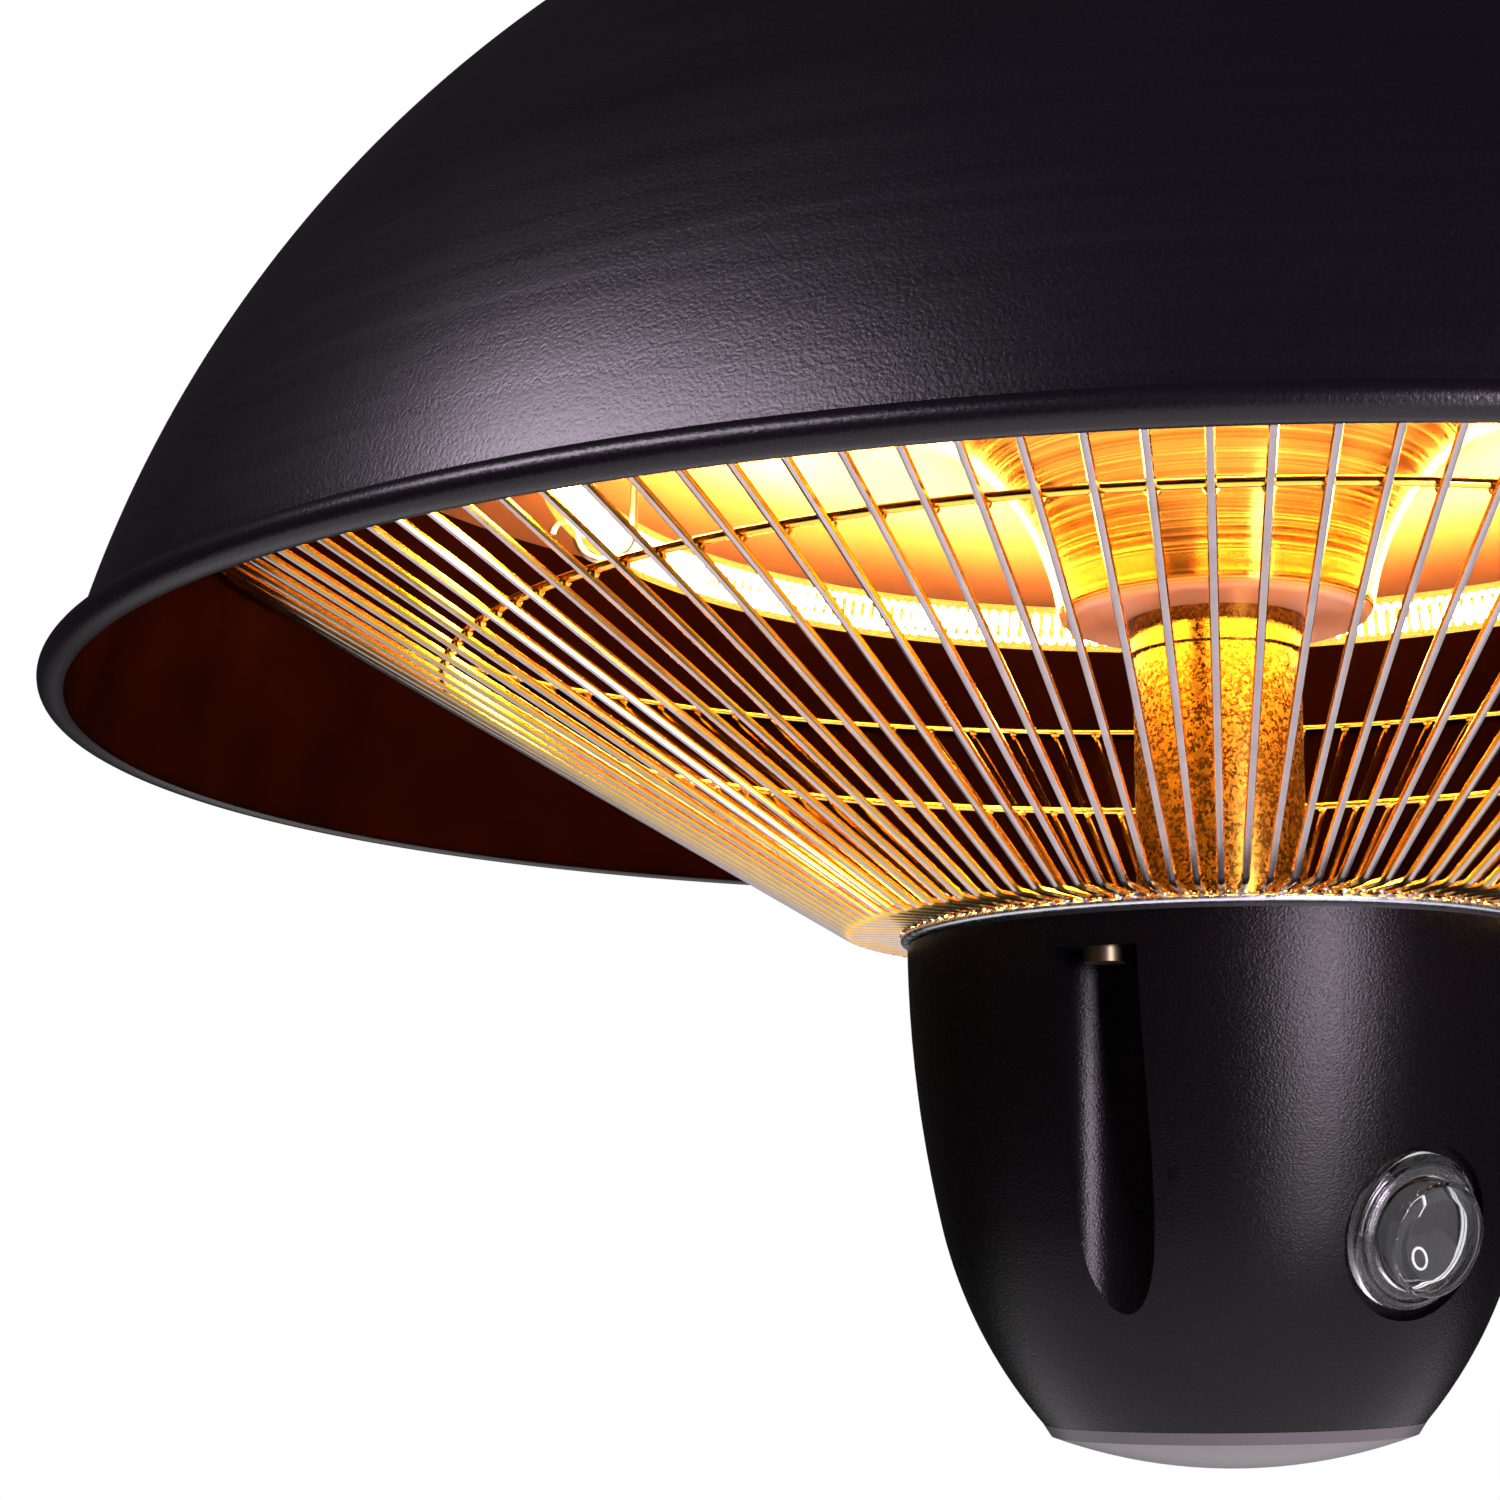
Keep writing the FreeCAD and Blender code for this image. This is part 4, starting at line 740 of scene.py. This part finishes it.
def crystal_zinc(name, dark, light, crystals, rough, depth):
    finish = Finish(name, Metallic=1.0)
    cells = {"Vector": finish.place(), "Scale": crystals}
    crystal = finish.node("ShaderNodeTexVoronoi", {}, cells, "Color")
    tone = finish.node("ShaderNodeSeparateColor", {}, {0: crystal})
    dust = finish.noise(crystals * 2.2, 3.0)
    finish.feed("Base Color", finish.mix(tone * 0.4 + dust * 0.6, dark, light))
    finish.feed("Roughness", rough + (tone - 0.5) * 0.1 + (dust - 0.5) * 0.16)
    finish.feed("Normal", finish.bump(tone * 0.3 + dust, 0.22, depth))
    return finish.material


# Each row gives the dark and light colour and the roughness.
BRIGHT_WIRES = {
    "hook_wire": ((0.45, 0.40, 0.34), (0.70, 0.64, 0.56), 0.3),
    "hardware_steel": ((0.40, 0.40, 0.41), (0.60, 0.60, 0.61), 0.3),
    "housing_screws": ((0.05, 0.04, 0.025), (0.12, 0.10, 0.06), 0.4),
    "terminal_brass": ((0.58, 0.42, 0.17), (0.80, 0.62, 0.30), 0.26),
}
# Each row gives the dark and light colour, crystals to the metre, roughness and bump height in metres.
ZINCS = {
    # The tube's amber and orange are painted lamp glow: the lamp's light painted into the colour of grey
    # galvanised zinc.
    "tube_zinc": ((0.11, 0.046, 0.004), (0.44, 0.25, 0.034), 1500.0, 0.27, 0.00004),
    "flange_zinc": ((0.30, 0.32, 0.35), (0.52, 0.55, 0.60), 700.0, 0.28, 0.0001),
}
FINISHES["guard_wire"] = guard_chrome("guard_wire")
FINISHES["reflector_aluminium"] = turned_aluminium("reflector_aluminium")
FINISHES.update({name: bright_wire(name, *row) for name, row in BRIGHT_WIRES.items()})
FINISHES.update({name: crystal_zinc(name, *row) for name, row in ZINCS.items()})
print(f"metals added: {len(FINISHES)} finishes")

# %% [markdown]
# The lit coil glows far brighter than the room, so it clips to white and lights the metal round it. The
# quartz tube only carries a soft orange glow over it. The boot is clear soft plastic. The small
# insulators behind the plate are ivory plastic and white ceramic.

# %% Lamp, boot and insulators
def glowing_coil(name):
    finish = Finish(name, Emission_Strength=300.0, Roughness=0.6)
    heat = finish.noise(160.0)
    finish.feed("Base Color", finish.mix(heat, (0.30, 0.16, 0.08), (0.45, 0.26, 0.14)))
    finish.feed("Emission Color", finish.mix(heat, (1.0, 0.44, 0.09), (1.0, 0.49, 0.11)))
    return finish.material


def lit_quartz(name):
    finish = Finish(name, Emission_Strength=2.6, Roughness=0.05, Alpha=0.3, Specular_IOR_Level=0.2)
    drift = finish.noise(70.0)
    finish.feed("Base Color", finish.mix(drift, (0.020, 0.012, 0.006), (0.030, 0.018, 0.009)))
    finish.feed("Emission Color", finish.mix(drift, (1.0, 0.40, 0.04), (1.0, 0.48, 0.07)))
    return finish.material


def clear_plastic(name):
    finish = Finish(name, Transmission_Weight=1.0, IOR=1.27)
    haze = finish.noise(420.0, 3.0)
    finish.feed("Base Color", finish.mix(haze, (0.84, 0.85, 0.86), (0.92, 0.92, 0.93)))
    finish.feed("Roughness", 0.02 + haze * 0.04)
    finish.feed("Normal", finish.bump(haze, 0.1, 0.0001))
    return finish.material


def insulator(name, dark, light, rough, grain):
    finish = Finish(name)
    speck = finish.noise(grain, 4.0)
    finish.feed("Base Color", finish.mix(speck, dark, light))
    finish.feed("Roughness", rough + (speck - 0.5) * 0.2)
    finish.feed("Normal", finish.bump(speck, 0.2, 0.0001))
    return finish.material


# Each row gives the dark and light colour, roughness and specks to the metre.
INSULATORS = {
    "ceramic": ((0.72, 0.70, 0.66), (0.86, 0.84, 0.80), 0.5, 900.0),
    "lead_white": ((0.78, 0.78, 0.78), (0.88, 0.88, 0.88), 0.45, 700.0),
    "block_ivory": ((0.70, 0.66, 0.55), (0.80, 0.77, 0.66), 0.5, 800.0),
}
FINISHES["filament"] = glowing_coil("filament")
FINISHES["quartz"] = lit_quartz("quartz")
FINISHES["boot_clear"] = clear_plastic("boot_clear")
FINISHES.update({name: insulator(name, *row) for name, row in INSULATORS.items()})

# %% [markdown]
# Each piece gets the finish of its slot. Two CAD pieces differ from the rest of theirs, the top cap and
# the screws in the cup, so a finish under a piece's own name comes first.

# %% Finishes onto pieces
slots = {part["node"]: part["material_slot"] for part in frame["record"]["subparts"]}
for piece in [o for o in bpy.context.scene.objects if o.type == "MESH"]:
    slot = piece.get("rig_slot") or slots[piece.name]
    piece.data.materials.clear()
    piece.data.materials.append(FINISHES.get(piece.name, FINISHES[slot]))
print(f"finishes: {len(FINISHES)} for {len(slots)} nodes")

# %% [markdown]
# The photograph was cut from the left of a larger frame, so the camera's shift keeps part of that. The
# camera stands a little under the lip, 38.5 degrees round from the switch, and looks slightly up.

# %% Camera
VIEW_TURN = math.radians(-38.5)
CAMERA_DISTANCE = 528.9
CAMERA_LEVEL = -98.9
CAMERA_YAW = math.radians(-4.735)
CAMERA_PITCH = math.radians(7.677)
CAMERA_ROLL = math.radians(-0.69)
FOCAL_PIXELS = 2824.9
IMAGE_PIXELS = 1500.0
AXIS_PIXEL = (990.0, 885.0)
SENSOR = 36.0
NEAREST = 0.01


def from_view(right, ahead, up):
    """Turn a direction seen from the camera's side (right, ahead, up) into the part's frame."""
    c = math.cos(VIEW_TURN)
    s = math.sin(VIEW_TURN)
    return np.array([c * right - s * ahead, s * right + c * ahead, up])


def stand_at(thing, place, right, up, back):
    """Put a camera or lamp at a place, with its own x, y and z along right, up and back."""
    axes = Matrix(np.stack([right, up, back], 1).tolist()).to_4x4()
    thing.matrix_world = Matrix.Translation(place.tolist()) @ axes
    bpy.context.scene.collection.objects.link(thing)


level_ahead = math.cos(CAMERA_PITCH)
ahead = from_view(
    math.sin(CAMERA_YAW) * level_ahead, math.cos(CAMERA_YAW) * level_ahead, math.sin(CAMERA_PITCH)
)
right = from_view(math.cos(CAMERA_YAW), -math.sin(CAMERA_YAW), 0.0)
upright = np.cross(right, ahead)
camera_right = math.cos(CAMERA_ROLL) * right + math.sin(CAMERA_ROLL) * upright
camera_up = math.cos(CAMERA_ROLL) * upright - math.sin(CAMERA_ROLL) * right
camera_place = in_frame(from_view(0.0, -CAMERA_DISTANCE, CAMERA_LEVEL))
camera_data = bpy.data.cameras.new("photo_camera")
camera_data.sensor_width = SENSOR
camera_data.lens = FOCAL_PIXELS / IMAGE_PIXELS * SENSOR
camera_data.shift_x = -(AXIS_PIXEL[0] - IMAGE_PIXELS / 2) / IMAGE_PIXELS
camera_data.shift_y = (AXIS_PIXEL[1] - IMAGE_PIXELS / 2) / IMAGE_PIXELS
camera_data.clip_start = NEAREST
camera = bpy.data.objects.new("photo_camera", camera_data)
stand_at(camera, camera_place, camera_right, camera_up, -ahead)
bpy.context.scene.camera = camera
print(f"camera at {np.round(camera_place, 4).tolist()}, lens {camera_data.lens:.1f} mm")

# %% [markdown]
# Four soft boxes light the heater. The studio round them is white to the camera and through glass. A
# mirror sees white only from below, where the floor lies, and near black above, so that dark coats stay
# dark. As a source of light the studio is dim.

# %% Studio light
AIM = in_frame((0.0, 0.0, 10.0))
WHITE = (1.0, 1.0, 1.0)
VIOLET_WHITE = (1.0, 0.83, 1.03)


def soft_box(name, place, size, power, colour):
    """An area lamp at (right, ahead, up) from the camera's side, aimed at the middle of the heater."""
    data = bpy.data.lights.new(name, "AREA")
    data.shape = "RECTANGLE"
    data.size = size[0]
    data.size_y = size[1]
    data.energy = power
    data.color = colour
    place = in_frame(from_view(*place))
    back = unit(place - AIM)
    side = unit(np.cross(UP, back))
    stand_at(bpy.data.objects.new(name, data), place, side, np.cross(back, side), back)


soft_box("key", (-990.0, -750.0, 840.0), (1.0, 0.35), 28.0, VIOLET_WHITE)
soft_box("front", (800.0, -1150.0, 60.0), (0.38, 0.6), 40.0, VIOLET_WHITE)
soft_box("low", (520.0, -850.0, -380.0), (0.2, 0.35), 5.0, (1.0, 0.88, 1.0))
soft_box("back", (500.0, 1400.0, 650.0), (1.0, 0.5), 16.0, WHITE)
print("studio light: 4 soft boxes")

# %% White studio
WORLD_LIGHT = 0.3
MIRRORED_CEILING = 0.02
WHITE_BELOW = -0.7
DARK_ABOVE = -0.4


class StudioWorld(Finish):
    """The world's own nodes, written with the same arithmetic as a finish."""

    def __init__(self, name):
        self.world = bpy.data.worlds.new(name)
        self.world.use_nodes = True
        self.tree = self.world.node_tree
        self.shader = self.tree.nodes["Background"]
        self.shader.inputs["Color"].default_value = (*WHITE, 1.0)


studio = StudioWorld("white_studio")
bpy.context.scene.world = studio.world
camera_ray, glossy_ray, glass_ray = (
    studio.node("ShaderNodeLightPath", {}, {}, ray)
    for ray in ("Is Camera Ray", "Is Glossy Ray", "Is Transmission Ray")
)
upward = studio.parts(studio.node("ShaderNodeTexCoord", {}, {}, "Generated"))[2]
mirrored = glossy_ray * studio.fade(upward, WHITE_BELOW, DARK_ABOVE, 1.0, MIRRORED_CEILING)
seen = camera_ray.math("MAXIMUM", camera_ray, glass_ray)
shown = seen.math("MAXIMUM", seen, mirrored)
plain = 1 - seen.math("MAXIMUM", seen, glossy_ray)
studio.feed("Strength", shown + plain * WORLD_LIGHT)
print(f"white studio, {WORLD_LIGHT} as a source of light")

# %% Pale floor
FLOOR_DROP = 1100.0
FLOOR_HALF = 2200.0
FLOOR_GLOW = 0.62
corner = np.array([(-1, -1), (1, -1), (1, 1), (-1, 1)]) * FLOOR_HALF
floor_points = np.column_stack([corner, np.full(4, -FLOOR_DROP)])
floor_mesh = bpy.data.meshes.new("pale_floor")
floor_mesh.from_pydata(in_frame(floor_points).tolist(), [], [(0, 1, 2, 3)])
floor = bpy.data.objects.new("pale_floor", floor_mesh)
bpy.context.scene.collection.objects.link(floor)
floor_finish = Finish(
    "pale_floor",
    Roughness=0.9,
    Specular_IOR_Level=0.1,
    Emission_Color=(*WHITE, 1.0),
    Emission_Strength=FLOOR_GLOW,
)
pale = floor_finish.mix(floor_finish.noise(3.0), (0.90, 0.90, 0.90), (0.94, 0.94, 0.94))
floor_finish.feed("Base Color", pale)
floor_mesh.materials.append(floor_finish.material)
print("floor: one pale sheet under the heater")

# %% Finish
bpy.context.scene.view_settings.view_transform = "Standard"
